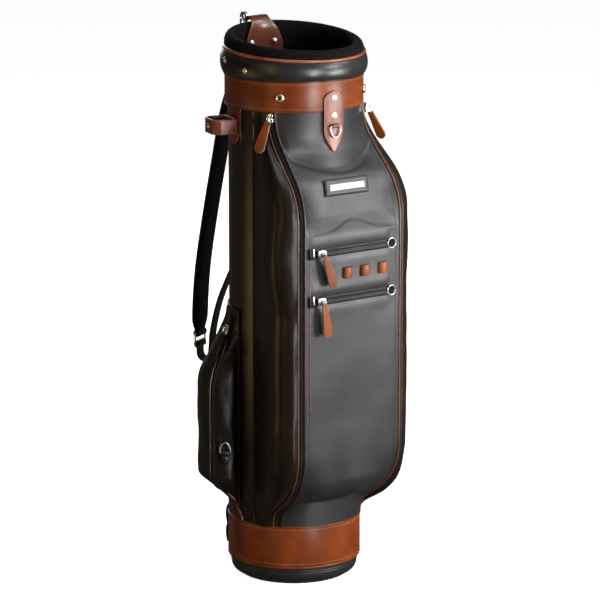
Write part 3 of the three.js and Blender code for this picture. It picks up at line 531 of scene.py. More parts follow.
def ring_points(radius, z, count=160):
    return [around(360 * (k / count), radius, z) for k in range(count)]


def cad_copy(node):
    """A bmesh copy of a CAD node with its doubled corners joined."""
    mesh = bmesh.new()
    mesh.from_mesh(frame["nodes"][node].data)
    bmesh.ops.remove_doubles(mesh, verts=mesh.verts, dist=2e-5)
    return mesh


def look_object(node, mesh):
    data = bpy.data.meshes.new(f"{node}_look")
    mesh.to_mesh(data)
    mesh.free()
    return linked(f"{node}_look", data)


def rounded(node, material, width, segments=2):
    """A copy of a CAD node with its sharp edges bevelled, which replaces the node."""
    mesh = cad_copy(node)
    bmesh.ops.dissolve_limit(mesh, angle_limit=radians(2), verts=mesh.verts, edges=mesh.edges)
    sharp = [e for e in mesh.edges if len(e.link_faces) == 2 and e.calc_face_angle(0) > radians(28)]
    bmesh.ops.bevel(
        mesh, geom=sharp, offset=width * MM, offset_type="OFFSET", segments=segments, profile=0.5,
        affect="EDGES", clamp_overlap=True,
    )
    return finish(look_object(node, mesh), material, frame["nodes"][node]["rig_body"], node, 50.0)


def subdivided(node, material, levels=2):
    """A copy of a wire node smoothed by subdivision, which replaces the node."""
    mesh = cad_copy(node)
    bmesh.ops.join_triangles(
        mesh, faces=mesh.faces, angle_face_threshold=radians(60), angle_shape_threshold=radians(80),
    )
    obj = look_object(node, mesh)
    modifier = obj.modifiers.new("smooth", "SUBSURF")
    modifier.levels = modifier.render_levels = levels
    bpy.context.view_layer.update()
    baked = bpy.data.meshes.new_from_object(obj.evaluated_get(bpy.context.evaluated_depsgraph_get()))
    obj.modifiers.clear()
    obj.data = baked
    return finish(obj, material, frame["nodes"][node]["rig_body"], node, 60.0)


def slanted(shape, level=COLLAR_Z[1], full=None):
    """The mouth's slant, as in the frame: the back lifts and the front falls, in full from `full` up."""
    vertices, faces = shape
    points = []
    for p in vertices:
        share = 1.0 if full is None else min(1.0, max(0.0, (p[2] - level) / (full - level)))
        lift = SLANT * max(0.0, p[2] - COLLAR_Z[1]) * share
        points.append(np.array([p[0], p[1], p[2] + lift * p[1] / hypot(p[0], p[1])]))
    return points, faces


def wobble(p, scale, amount):
    return amount * noise.noise(Vector(p) * scale)


# ---- Pocket surfaces, as in the frame ----
def stand_out(run, depth, first, second, slope):
    """How far a pocket stands out, `run` in from its edge: a bend, a straight slope and a bend back."""
    rise, going = sin(radians(slope)), cos(radians(slope))
    straight = (depth - (first + second) * (1 - going)) / rise
    total = (first + second) * rise + straight * going
    if run <= 0:
        return 0.0
    if run < first * rise:
        return first - sqrt(first**2 - run**2)
    if run < first * rise + straight * going:
        return first * (1 - going) + (run - first * rise) * rise / going
    if run < total:
        return depth - second + sqrt(second**2 - (total - run) ** 2)
    return depth


def top_share(z):
    return stand_out(POCKET_Z[1] - z, POCKET_DEPTH, *TOP_BEND) / POCKET_DEPTH


def low_share(z):
    return stand_out(z - POCKET_Z[0], POCKET_DEPTH, *LOW_BEND) / POCKET_DEPTH


def tuck(z):
    return TUCK * smoothstep(230 - z, 0, 110)


CREASE_TOP_Z, SLOPE_TOP_Z, FLAP_TOP_Z = 690, 642, 598


def panel_share(side, z):
    """How far the panel has come out at a height: its middle steps out in three parts, its sides evenly."""
    crease = smoothstep(CREASE_TOP_Z - z, 0, 50)
    slope = min(1.0, max(0.0, (SLOPE_TOP_Z - z) / 50))
    flap = smoothstep(FLAP_TOP_Z - z, 0, 32)
    high = mix(0.61 * crease + 0.16 * slope + 0.23 * flap, top_share(z), side**2.6)
    middle = stand_out(z - CREASE_LOW_Z, CREASE_DEPTH, *CREASE_BEND) / CREASE_DEPTH
    return min(high, mix(middle, low_share(z), smoothstep(side, 0.4, 1)))


def pocket_point(degrees, full_x, full_y, z):
    neck = around(degrees - copysign(tuck(z), degrees), PANEL_R, z)
    share = min(top_share(z), low_share(z))
    return np.array([mix(neck[0], full_x, share), mix(neck[1], full_y, share), z])


def panel_point(u, z):
    side = abs(2 * u - 1)
    edge = PANEL_EDGE - tuck(z)
    full = np.array([mix(-FACE_HALF, FACE_HALF, u), FACE_Y + 1.3 * side**8, z])
    return mix(around(mix(-edge, edge, u), PANEL_R, z), full, panel_share(side, z))


def section_curve(points, t):
    """A point of a Catmull-Rom curve through points, with t from 0 to 1 in equal steps per point."""
    points = np.asarray(points, float)
    place = min(max(t, 0.0), 1.0) * (len(points) - 1)
    k = min(int(place), len(points) - 2)
    f = place - k
    before = points[k - 1] if k else 2 * points[0] - points[1]
    after = points[k + 2] if k + 2 < len(points) else 2 * points[-1] - points[-2]
    a, b = points[k], points[k + 1]
    tangents = (b - before) / 2, (after - a) / 2
    f2, f3 = f * f, f * f * f
    near = (2 * f3 - 3 * f2 + 1) * a + (f3 - 2 * f2 + f) * tangents[0]
    return near + (3 * f2 - 2 * f3) * b + (f3 - f2) * tangents[1]


def gusset_point(sign, u, z):
    full = section_curve(GUSSET_SECTION, u)
    puff = sin(pi * u) ** 2
    swell = puff * (4 + 8 * bell(z - 545, 62))
    share = min(top_share(z - 9 * puff), low_share(z + 18 * puff))
    neck = around(sign * mix(GUSSET_DEGREES[0] - tuck(z), GUSSET_DEGREES[1], u), PANEL_R, z)
    return mix(neck, np.array([sign * (full[0] + swell), full[1], z]), share)


def zip_point(sign, u, z):
    full = [mix(ZIP_FULL[0][k], ZIP_FULL[1][k], u) for k in (0, 1)]
    return pocket_point(sign * mix(*ZIP_DEGREES, u), sign * full[0], full[1], z)


def outward(point, u, z, sign=1):
    """The surface's outward normal at a point of a pocket surface."""
    du = point(min(1, u + 0.01), z) - point(max(0, u - 0.01), z)
    dz = point(u, z + 1) - point(u, z - 1)
    return unit(sign * np.cross(du, dz))


def raised(point, u, z, lift):
    """A point of a pocket surface, lifted along its normal."""
    return point(u, z) + outward(point, u, z) * lift


# ---- Front pocket ----
ZIPS_Z = (544.5, 470.5)
ZIP_X = (-79.0, 62.0)
WAVE_Z = 574.0
BADGE_Z = 638.0


def wave_z(u):
    """The height of the curved seam above the upper zip."""
    return WAVE_Z + 15.5 * bell(u - 0.515, 0.17)


def panel_relief(u, v, p):
    z = p[2]
    side = abs(2 * u - 1)
    away = smoothstep(1 - side, 0, 0.18)  # calm along the sewn edges
    above = z - wave_z(u)
    seam = 0.8 * smoothstep(-above, -1.2, 1.2) * smoothstep(z, 560, 575) - 0.85 * bell(above, 1.4)
    crease_z = 664 + 27 * side**2
    crease = -3.2 * bell(z - crease_z, 6.5) + 2.4 * bell(z - crease_z - 19, 13)
    zips = 0.0
    for zip_z in ZIPS_Z:
        inside = smoothstep(p[0], ZIP_X[0] - 8, ZIP_X[0]) * smoothstep(-p[0], -ZIP_X[1] - 10, -ZIP_X[1])
        zips += inside * (1.0 * bell(z - zip_z - 17, 9) - 1.3 * bell(z - zip_z, 9))
        zips += inside * 0.4 * bell(z - zip_z + 16, 9)
    low = smoothstep(z, 128, 160)
    fold = 1.5 * low * sin(p[0] * 0.09 + 0.6) * bell(z - 175, 38)
    slow = wobble(p, 0.012, 1.7) + wobble(p, 0.035, 0.25)
    return away * (seam * low + crease + zips + fold + slow * low)


def build_front_pocket():
    low, high = BAND_Z[1] + 0.3, COLLAR_Z[0] - 0.3
    z_at = lambda v: mix(low, high, v)
    panel = sheet(lambda u, v: panel_point(u, z_at(v)), 92, 300, 2.2, panel_relief)
    remake("front_panel", panel, BLACK, sharp=60)
    on_panel = lambda u, z, lift, share: raised(
        panel_point, u, z, lift + panel_relief(u, 0, panel_point(u, z)) * share
    )
    wave = []
    for k in range(90):
        u = mix(0.04, 0.97, k / 89)
        wave.append(on_panel(u, wave_z(u) - 3.2, 1.45, 0.6))
    sew("wave_seam_thread", wave, 3.6, 2.4, 0.3)

    zs = np.linspace(low, high, 190)
    inset = []
    for z in np.linspace(530, 300, 110):
        u = 0.047 + 0.008 * smoothstep(-z, -360, -300)
        inset.append(raised(panel_point, u, z, 0.5))
    piece("ball_pocket_edge", tube(inset, 0.9, 8), PIPING)

    for side, sign in (("left", -1), ("right", 1)):
        across = (lambda u: 1 - u) if sign < 0 else (lambda u: u)

        def gusset_relief(u, v, p, sign=sign):
            calm = smoothstep(min(u, 1 - u), 0, 0.14)
            dent = 1.6 * sin(p[2] * 0.021 + sign)
            dent *= smoothstep(p[2], 130, 260) * smoothstep(-p[2], -690, -560)
            return calm * (wobble(p, 0.01, 3.4) + wobble(p, 0.03, 0.9) + 0.5 * dent)

        piece(
            f"gusset_{side}_look",
            sheet(lambda u, v: gusset_point(sign, across(u), z_at(v)), 44, 220, 2.2, gusset_relief),
            GUSSET, replaces=f"front_gusset_{side}", sharp=60,
        )
        piece(
            f"side_zip_{side}_look",
            sheet(lambda u, v: zip_point(sign, across(u), z_at(v)), 8, 200, 1.2),
            TAPE, replaces=f"side_zip_tape_{side}",
        )
        teeth = []
        for z in np.arange(low + 3, high - 3, 2.1):
            if abs(z - SLIDER_Z) < 9:
                continue
            for u, shift in ((0.40, 0.0), (0.60, 1.05)):
                p = zip_point(sign, u, z + shift)
                n = outward(lambda a, b: zip_point(sign, a, b), u, z + shift, sign)
                width = unit(zip_point(sign, u + 0.1, z + shift) - p)
                teeth.append(block(p + n * 0.5, width * 1.5, n * 0.55, np.cross(width, n) * 0.6))
        piece(f"side_zip_{side}_teeth", merged(*teeth), PLASTIC)

        # Pipings on both edges of the zip, lifted along the normal just inside the edge.
        on_gusset = lambda u, z: gusset_point(sign, u, z)
        for name, point, edge, inside, facing, lift, radius in (
            ("panel", panel_point, 0.5 + sign * 0.5, 0.5 + sign * 0.49, 1, 0.5, 1.6),
            ("gusset", on_gusset, 0, 0.02, sign, 0.1, 1.3),
        ):
            line = [point(edge, z) + outward(point, inside, z, facing) * lift for z in zs]
            # The panel piping on the left and the gusset piping on the right take the darker copy of the
            # piping leather: painted shade.
            dark = (sign > 0) == (name == "gusset")
            piece(f"{name}_piping_{side}", tube(line, radius, 10), SHADED_PIPING if dark else PIPING)
        row = [on_panel(0.5 + sign * 0.452, z, 0.25, 1) for z in np.linspace(low + 4, high - 4, 160)]
        sew(f"panel_thread_{side}", row)
        above_root = around(sign * GUSSET_DEGREES[1], 0.2, 0)
        root = [gusset_point(sign, 1, z) + above_root for z in np.linspace(low + 2, high - 2, 160)]
        piece(f"gusset_root_welt_{side}", tube(root, 1.5, 8), GLOSS)


def block(centre, half_x, half_y, half_z):
    """A small box from its centre and its three half-edges, with the top drawn in."""
    vertices = []
    for y, draw in ((-1, 1.0), (1, 0.7)):
        for x, z in ((-1, -1), (1, -1), (1, 1), (-1, 1)):
            vertices.append(centre + half_x * x * draw + half_y * y + half_z * z * draw)
    return vertices, [(0, 1, 2, 3), (7, 6, 5, 4), (0, 4, 5, 1), (1, 5, 6, 2), (2, 6, 7, 3), (3, 7, 4, 0)]


def build_face_zips():
    for name, zip_z in zip(("upper", "lower"), ZIPS_Z):
        def lips(u, v):
            """Two leather lips that roll in towards the teeth."""
            half = 7.2
            across = mix(-half, half, v)
            edge = abs(across) / half
            height = 2.3 * sqrt(max(0.0, 1 - (2 * edge - 1.05) ** 2)) * smoothstep(edge, 0.02, 0.16)
            return np.array([mix(*ZIP_X, u), FACE_Y - 0.15 - height, zip_z + across])

        def end(left, right, lift):
            """A flat tab with drawn-in ends, from left to right over the end of the zip."""

            def point(u, v):
                y = FACE_Y - lift + 1.0 * abs(2 * v - 1) ** 3
                return np.array([mix(left, right, u), y, zip_z + mix(-8.5, 8.5, v)])

            return sheet(point, 6, 12, lift - 0.6)

        def beside(x, off):
            """A point on the panel's face, beside the zip."""
            lift = panel_relief((x + FACE_HALF) / (2 * FACE_HALF), 0, np.array([x, FACE_Y, zip_z + off]))
            return np.array([x, FACE_Y - 0.3 - max(0.0, lift), zip_z + off])

        # The lips take the darker copy of the black leather, painted shade in the zip's recess.
        piece(f"face_zip_{name}_lips", sheet(lips, 70, 30, 0.25), SHADED_LIPS, replaces=f"face_zip_{name}", sharp=80)
        teeth = []
        for x in np.arange(ZIP_X[0] + 20, ZIP_X[1] - 1, 1.9):
            for shift, z in ((0, 0.55), (0.95, -0.55)):
                centre = np.array([x + shift, FACE_Y - 1.1, zip_z + z])
                teeth.append(block(centre, RIGHT * 0.55, np.array([0, -0.5, 0]), UP * 0.9))
        piece(f"face_zip_{name}_teeth", merged(*teeth), PLASTIC)
        for row, off in (("top", 9.6), ("bottom", -9.6)):
            line = [beside(x, off) for x in np.linspace(ZIP_X[0] + 2, ZIP_X[1] - 1, 60)]
            sew(f"face_zip_{name}_thread_{row}", line, 3.8, 2.5, 0.3)
        piece(f"face_zip_{name}_end", end(-84.5, -77.5, 3.4), SHADE)
        piece(f"face_zip_{name}_end_frame", end(-77.4, -75.6, 3.8), GUNMETAL)
        rounded(f"face_slider_{name}", STEEL, 0.7)
        build_pull(f"face_pull_{name}", PULL)
        subdivided(f"zip_eyelet_{name}", GUNMETAL, 1)
        core = dome(np.array([72.0, FACE_Y - 0.2, zip_z]), np.array([0, -1.0, 0]), 6.3, 0.9, 28)
        piece(f"zip_eyelet_{name}_core", core, TAPE)


def build_pull(node, material):
    """A leather pull with a pale cut edge, and a metal wire and cap near its hinge."""
    joint = next(j for j in frame["joints"] if j["child"] == node)
    hinge = Vector(joint["pos_m"])
    obj = rounded(node, material, 0.75, 3)
    obj.data.materials.append(NICKEL)
    obj.data.materials.append(EDGE)
    flat = max(obj.data.polygons, key=lambda polygon: polygon.area).normal.copy()
    for polygon in obj.data.polygons:
        if (polygon.center - hinge).length < 9 * MM:
            polygon.material_index = 1
        elif abs(polygon.normal.dot(flat)) < 0.8 and material is PULL:
            polygon.material_index = 2


def build_side_sliders():
    for side in ("left", "right"):
        rounded(f"side_slider_{side}", NICKEL, 0.7)
        build_pull(f"side_pull_{side}", PULL)


# ---- Face fittings ----
def build_face_fittings():
    centre = panel_point(0.5, BADGE_Z)
    up = unit(panel_point(0.5, BADGE_Z + 8) - panel_point(0.5, BADGE_Z - 8))
    out = np.cross(RIGHT, up)

    def pad(half_x, half_z, lift, height, corner):
        def point(u, v):
            x, y = mix(-half_x, half_x, u), mix(-half_z, half_z, v)
            edge = max(0, abs(x) - half_x + corner) ** 2 + max(0, abs(y) - half_z + corner) ** 2
            drop = height * min(1.0, edge / corner**2)
            return centre + RIGHT * x + up * y + out * (lift + height - drop)

        return point

    piece("badge_base", sheet(pad(41, 13, 0.4, 2.2, 3), 50, 24, 1.6), BLACK, replaces="badge_plate", sharp=70)
    piece("badge_face", sheet(pad(34, 5.6, 3.0, 1.0, 1.4), 50, 20, 0.8), PLATE, sharp=70)
    border = []
    for c, s in circle(120):
        x, y = 38 * max(-1, min(1, 1.35 * c)), 10.2 * max(-1, min(1, 1.35 * s))
        border.append(centre + RIGHT * x + up * y + out * 2.75)
    sew("badge_thread", border, 3.0, 2.0, 0.28, closed=True)
    for k in (1, 2, 3):
        rounded(f"tee_loop_{k}", PULL, 0.5, 3)


# ---- Base, bands, collar, roll and rim ----
def band(name, radius, inner, low, high, node):
    piece(name, lathe(round_profile(inner, radius, low, high, 0.9), 144), TAN, replaces=node)
    for row, z in (("low", low + 4.5), ("high", high - 4.5)):
        sew(f"{name}_thread_{row}", ring_points(radius + 0.1, z), 4.6, 3.1, 0.42, THREAD, closed=True)


CLOTH_STEPS = 20


def inflate(obj, sewn, cap):
    """Blows a padded piece up like cloth between its sewn points, and moves no point more than cap."""
    scene = bpy.context.scene
    group = obj.vertex_groups.new(name="sewn")
    group.add(sewn, 1.0, "REPLACE")
    cloth = obj.modifiers.new("cloth", "CLOTH")
    settings = cloth.settings
    settings.vertex_group_mass = group.name
    settings.use_pressure = True
    settings.uniform_pressure_force = 400
    settings.tension_stiffness = settings.compression_stiffness = 5
    settings.effector_weights.gravity = 0
    cloth.collision_settings.use_collision = False
    cloth.point_cache.frame_start = 1
    cloth.point_cache.frame_end = CLOTH_STEPS
    for step in range(1, CLOTH_STEPS + 1):
        scene.frame_set(step)
    blown = obj.evaluated_get(bpy.context.evaluated_depsgraph_get()).to_mesh()
    moves = [new.co - old.co for new, old in zip(blown.vertices, obj.data.vertices)]
    obj.modifiers.clear()
    obj.vertex_groups.clear()
    for vertex, move in zip(obj.data.vertices, moves):
        if move.length > 1e-9:
            vertex.co += move * min(1.0, cap * MM / move.length)
    scene.frame_set(1)


def build_round_parts():
    cup = [(0.5, 4.3), (91, 4.3), (94, 5.2), (96.6, 7.6), (98.6, 11.2), (99.6, 16), (99.6, 31.3), (99, 31.3)]
    cup += [(99, 88), (93.3, 88), (93.3, 10), (0.5, 10)]
    remake("base_cup", lathe(cup, 144), PLASTIC)
    ribs = [tube(ring_points(99.4, z), 0.7, 8, True) for z in (19.5, 23.0)]
    piece("base_ribs", merged(*ribs), PLASTIC)
    band("base_band_look", BAND_R, COVER_R + 0.3, *BAND_Z, "base_band")
    piece("base_band_edge", tube(ring_points(BAND_R - 1.6, BAND_Z[0] - 1.4), 1.9, 10, True), TAN)
    piece("base_band_top_edge", tube(ring_points(BAND_R - 0.6, BAND_Z[1]), 1.3, 10, True), TAN)

    cover = lathe(round_profile(COVER_R - 2.2, COVER_R, BAND_Z[0], 821.5, 0.6), 160)
    remake("body_cover", cover, GLOSS)
    for name, degrees in (("left", -89.0), ("right", 89.0)):
        seam = [around(degrees, COVER_R + 0.1, z) for z in np.linspace(BAND_Z[1], COLLAR_Z[0], 120)]
        piece(f"cover_seam_{name}", tube(seam, 0.8, 8), GLOSS)
        beside = degrees + copysign(2.4, degrees)
        row = [around(beside, COVER_R + 0.1, z) for z in (BAND_Z[1] + 3, COLLAR_Z[0] - 3)]
        sew(f"cover_thread_{name}", row)

    def spine(u, v):
        return around(180 + mix(-13, 13, u), COVER_R + 2.0, mix(BAND_Z[1] + 0.5, COLLAR_Z[0] - 0.5, v))

    piece("spine_strip", sheet(spine, 14, 60, 1.7), BLACK)
    for name, off in (("left", -11.4), ("right", 11.4)):
        row = [around(180 + off, COVER_R + 2.1, z) for z in (BAND_Z[1] + 4, COLLAR_Z[0] - 4)]
        sew(f"spine_thread_{name}", row, material=THREAD)

    band("collar_look", COLLAR_R, COLLAR_R - 2.6, *COLLAR_Z, "collar_band")
    piece("collar_edge", tube(ring_points(COLLAR_R - 0.9, COLLAR_Z[0] + 0.2), 1.2, 10, True), TAN)

    profile = [(COLLAR_R - 2.6, ROLL_Z[1]), (COLLAR_R - 2.6, ROLL_Z[0])]
    middle, half = sum(ROLL_Z) / 2, (ROLL_Z[1] - ROLL_Z[0]) / 2
    for c, s in arc((0, 0), 1, -90, 180, 16):
        profile.append((ROLL_R - 5.4 + 5.4 * c**0.62, middle + half * s))
    roll = lathe(
        profile, 200,
        lambda degrees, r, z: 0.12 * sin(radians(degrees) * 9) * smoothstep(r, 108, 112)
        + 0.12 * sin(radians(degrees) * 23 + z * 0.2) * smoothstep(r, 108, 112),
    )
    cuff = remake("cuff_roll", slanted(roll), ROLL)
    sewn = [
        k for k, (x, y, z) in enumerate(roll[0])
        if hypot(x, y) < COLLAR_R + 0.5 or abs(z - middle) > half - 1.2
    ]
    inflate(cuff, sewn, 1.4)
    piece("roll_piping_low", tube(ring_points(COLLAR_R + 0.6, COLLAR_Z[1] + 0.3), 1.5, 10, True), GLOSS)
    # The rim piping takes the lighter copy of the piping leather, a painted highlight.
    piece("rim_piping", slanted(tube(ring_points(108.3, ROLL_Z[1] + 2.0), 2.9, 12, True)), LIT_RIM_PIPING)


FUR_SLANT_Z = (822.3, 832.8)
RIM_Z = 834
TUFTS = 5200


def build_fur():
    profile = [
        (MOUTH_R + 0.6, 770), (91.2, 770), (91.2, 822.6), (104.2, 822.6), (104.2, 833.2), (106.0, 834),
        (107.2, 836), (107.6, 839.5), (107.2, 843.5), (105.8, 847.5), (103.2, 851), (99.7, 853),
        (96.2, 853.2), (93.0, 851.4), (90.8, 847.6), (89.5, 842),
    ]
    profile += [(89.2, z) for z in np.arange(RIM_Z, 772, -9.0)]
    slant = lambda shape: slanted(shape, *FUR_SLANT_Z)
    fur = lathe(
        profile, 220,
        lambda degrees, r, z: (0.7 if z > RIM_Z else 0.35)
        * noise.noise(Vector((degrees * 0.9, r * 0.4, z * 0.5))),
    )
    remake("fur_cuff", slant(fur), FUR, sharp=180)
    # The pile: short leaning tufts all over the rim and down the lining.
    rng = np.random.default_rng(7)
    tufts = []
    path = np.array(profile[5:], float)
    steps = np.linalg.norm(np.diff(path, axis=0), axis=1)
    for _ in range(TUFTS):
        k = rng.choice(len(steps), p=steps / steps.sum())
        r, z = path[k] + (path[k + 1] - path[k]) * rng.random()
        degrees = 360 * rng.random()
        dr, dz = path[k + 1] - path[k]
        normal = np.array([dz, -dr]) * -1 / hypot(dr, dz)
        root = around(degrees, r - 0.3 * normal[0], z - 0.3 * normal[1])
        lean = rng.normal(0, 0.35, 3)
        out = unit(around(degrees, 1, 0) * normal[0] + UP * normal[1] + lean)
        side = unit(np.cross(out, UP + 0.01))
        other = np.cross(out, side)
        length = rng.uniform(1.0, 2.1)
        base = [root + 0.45 * (cos(a) * side + sin(a) * other) for a in (0, 2.1, 4.2)]
        tufts.append(([*base, root + out * length], [(0, 2, 1), (0, 1, 3), (1, 2, 3), (2, 0, 3)]))
    piece("fur_pile", slant(merged(*tufts)), FUR, sharp=180)
    rounded("club_divider", FUR, 3.0, 4)


# ---- Collar fittings ----
TAB_DEG = -2.0


def build_collar_fittings():
    top, low, bar_z = 780.5, 689.0, 727.5
    face = COLLAR_R + 3.3
    out, across = around(TAB_DEG, 1, 0), around(TAB_DEG + 90, 1, 0)

    def half_width(z):
        if z > top - 14:
            return 18 * sqrt(max(0.02, 1 - ((z - top + 14) / 14) ** 2))
        if z < low + 34:
            return mix(2.5, 18, sin(pi / 2 * (z - low) / 34))
        return 18.0

    def tab(u, v):
        z = mix(low, top, v)
        spread = in_degrees(half_width(z) / face)
        return around(TAB_DEG + mix(-spread, spread, u), face - 0.35 * (abs(2 * u - 1) ** 6), z)

    fold = []
    for k in range(25):
        turn = radians(mix(-75, 255, k / 24))
        fold.append(out * (face + 2.9 + 3.1 * cos(turn)) + UP * (bar_z + 3.1 * sin(turn)))
    loop = sheet(lambda u, v: fold[int(round(v * 24))] + across * mix(-6, 6, u), 6, 24, 1.0)
    remake("collar_tab", sheet(tab, 20, 90, 2.7), CHESTNUT, sharp=50)
    piece("collar_tab_loop", loop, CHESTNUT)
    edge = []
    for sign, zs in ((1, np.linspace(low + 8, top - 4, 40)), (-1, np.linspace(top - 4, low + 8, 40))):
        for z in zs:
            spread = in_degrees(sign * max(0.5, half_width(z) - 3) / face)
            edge.append(around(TAB_DEG + spread, face + 0.1, z))
    sew("collar_tab_thread", edge, 3.6, 2.4, 0.34, THREAD, closed=True)
    for node, z in (("tab_rivet_upper", 770), ("tab_rivet_lower", 743)):
        rivet(node, 5.2, around(TAB_DEG, face + 0.3, z), out, STUD)
    subdivided("collar_ring", STEEL)
    for node, degrees in (("hood_snap_left", -SNAP_DEG), ("hood_snap_right", SNAP_DEG)):
        rounded(node, BRASS, 0.5, 3)
        at = around(degrees, COLLAR_R + 0.5, SNAP_Z)
        piece(f"{node}_core", dome(at, around(degrees, 1, 0), 2.6, 1.6), PLASTIC)

    # The leather patches on the roll, with the rivets that hold the divider.
    middle = sum(ROLL_Z) / 2
    for side, sign in (("left", -1), ("right", 1)):
        def patch(u, v, sign=sign):
            z = mix(middle - 15, middle + 15, v)
            return around(sign * 92.5 + mix(-21, 21, u), ROLL_R + 1.6 - 4.6 * abs(2 * v - 1) ** 2.2, z)

        remake(f"roll_patch_{side}", slanted(sheet(patch, 30, 24, 1.1)), GLOSS)
        heads = []
        for degrees, lift in ((103, 5), (77, -3.5)):
            centre = around(sign * degrees, ROLL_R + 1.3, middle + lift)
            facing = around(sign * degrees, 1, 0)
            heads += [dome(centre, facing, 5.2, 1.3, 24), dome(centre, facing, 3.9, 2.8, 24)]
        piece(f"roll_patch_{side}_rivets", slanted(merged(*heads)), NICKEL)


def dome(centre, out, radius, height, segments=20, rings=6):
    """A closed dome with a flat back, standing on centre and facing out."""
    side = square_to(out)
    other = np.cross(out, side)
    vertices, faces = [centre + out * height], []
    for r in range(1, rings + 1):
        turn = pi / 2 * r / rings
        for c, s in circle(segments):
            spoke = c * side + s * other
            vertices.append(centre + spoke * radius * sin(turn) + out * height * cos(turn))
    for k in range(segments):
        m = (k + 1) % segments
        faces.append((0, 1 + k, 1 + m))
        for r in range(rings - 1):
            a = 1 + r * segments
            faces.append((a + k, a + segments + k, a + segments + m, a + m))
    faces.append(tuple(1 + (rings - 1) * segments + k for k in range(segments)))
    return vertices, faces


def rivet(node, radius, at, out, material):
    """A domed head on a flat washer, in the place of a rivet node."""
    washer = dome(at, out, radius, 1.3, 28)
    head = dome(at + out * 0.9, out, radius * 0.72, 2.1, 24)
    remake(node, merged(washer, head), material)


# ---- Umbrella holder and base patch ----
LOOP_DEG = -103.0


def build_umbrella_holder():
    foot, top = 692, COLLAR_Z[0] - 0.3

    def tab(u, v):
        z = mix(foot, top, v)
        spread = 14 * sqrt(min(1, 0.25 + 0.75 * (z - foot) / 16))
        return around(LOOP_DEG + mix(-spread, spread, u), COVER_R + 2.3, z)

    remake("umbrella_tab", sheet(tab, 24, 40, 1.9), CHESTNUT)
    edge = []
    for u, zs in ((0.07, np.linspace(698, 745, 16)), (0.93, np.linspace(745, 698, 16))):
        edge += [tab(u, (z - foot) / (top - foot)) + around(LOOP_DEG, 0.1, 0) for z in zs]
    sew("umbrella_tab_thread", edge, 4.0, 2.6, 0.34, THREAD)
    rounded("umbrella_loop", CHESTNUT, 0.9, 3)
    out, across = around(LOOP_DEG, 1, 0), around(LOOP_DEG + 90, 1, 0)
    base = around(LOOP_DEG, COVER_R + 2.6, 721)
    half, reach, corner = 25.0, 38.0, 14.0
    outline = [(-half, 4), *arc((-half + corner, reach - corner), corner, 180, -90, 8)]
    outline += [*arc((half - corner, reach - corner), corner, 90, -90, 8), (half, 4)]
    for name, z in (("low", -9.0), ("high", 9.0)):
        row = [base + across * a + out * (b + 0.15) + UP * z for a, b in outline]
        row = [p + (p - (base + out * 20 + UP * z)) * 0.004 for p in row]
        sew(f"umbrella_loop_thread_{name}", row, 3.8, 2.5, 0.34, THREAD)
    cap_at = base + out * (reach + 0.2)
    cap = merged(dome(cap_at, out, 4.4, 1.1, 24), dome(cap_at + out * 0.7, out, 3.0, 1.6))
    piece("umbrella_loop_stud", cap, NICKEL)

    def patch(u, v):
        half = 31 - 5 * v * v
        return around(SIDE_DEG + mix(-half, half, u), COVER_R + 2.5, mix(BAND_Z[1] + 0.3, 114.6, v))

    # The base patch is chestnut, in the darker copy whose extra darkness is painted shade.
    remake("base_patch", sheet(patch, 40, 8, 2.1), SHADED_CHESTNUT)
    piece("base_patch_piping", tube([patch(1, v) for v in np.linspace(0, 1, 12)], 1.5, 8), PIPING)

    def cup(u, v):
        knuckle = abs(sin(pi * 2 * v)) ** 0.6
        side = sin(pi * u) ** 0.5 if 0 < u < 1 else 0
        return around(-143 + mix(-13, 13, u), BAND_R + 2.5 + 4.5 * knuckle * side, mix(41, 100, v))

    remake("umbrella_tip_cup", sheet(cup, 30, 60, 2.0), BLACK, sharp=70)


# ---- Side pocket ----
SIDE_EDGE = 44
SIDE_ZIP_U = 0.8025
SIDE_SECTION = [(-48.9, 92), (-54, 108), (-54, 124), (-50, 135)]
SIDE_SECTION += [(a, 70 + sqrt(82**2 - a**2)) for a in (-SIDE_EDGE, -30, -15, 0, 15, 30, SIDE_EDGE)]
SIDE_SECTION += [(50, 135), (54, 124), (54, 108), (48.9, 92)]


def side_point(u, z):
    full = section_curve(SIDE_SECTION, u)
    out, across = around(SIDE_DEG, 1, 0), around(SIDE_DEG + 90, 1, 0)
    neck = around(SIDE_DEG + mix(-28, 28, u), PANEL_R, z)
    top = stand_out(SIDE_Z[1] - z, SIDE_DEPTH, *SIDE_TOP_BEND)
    low = stand_out(z - SIDE_Z[0], SIDE_DEPTH, *SIDE_LOW_BEND)
    share = min(top, low) / SIDE_DEPTH
    return mix(neck, out * full[1] + across * full[0] + UP * z, share)


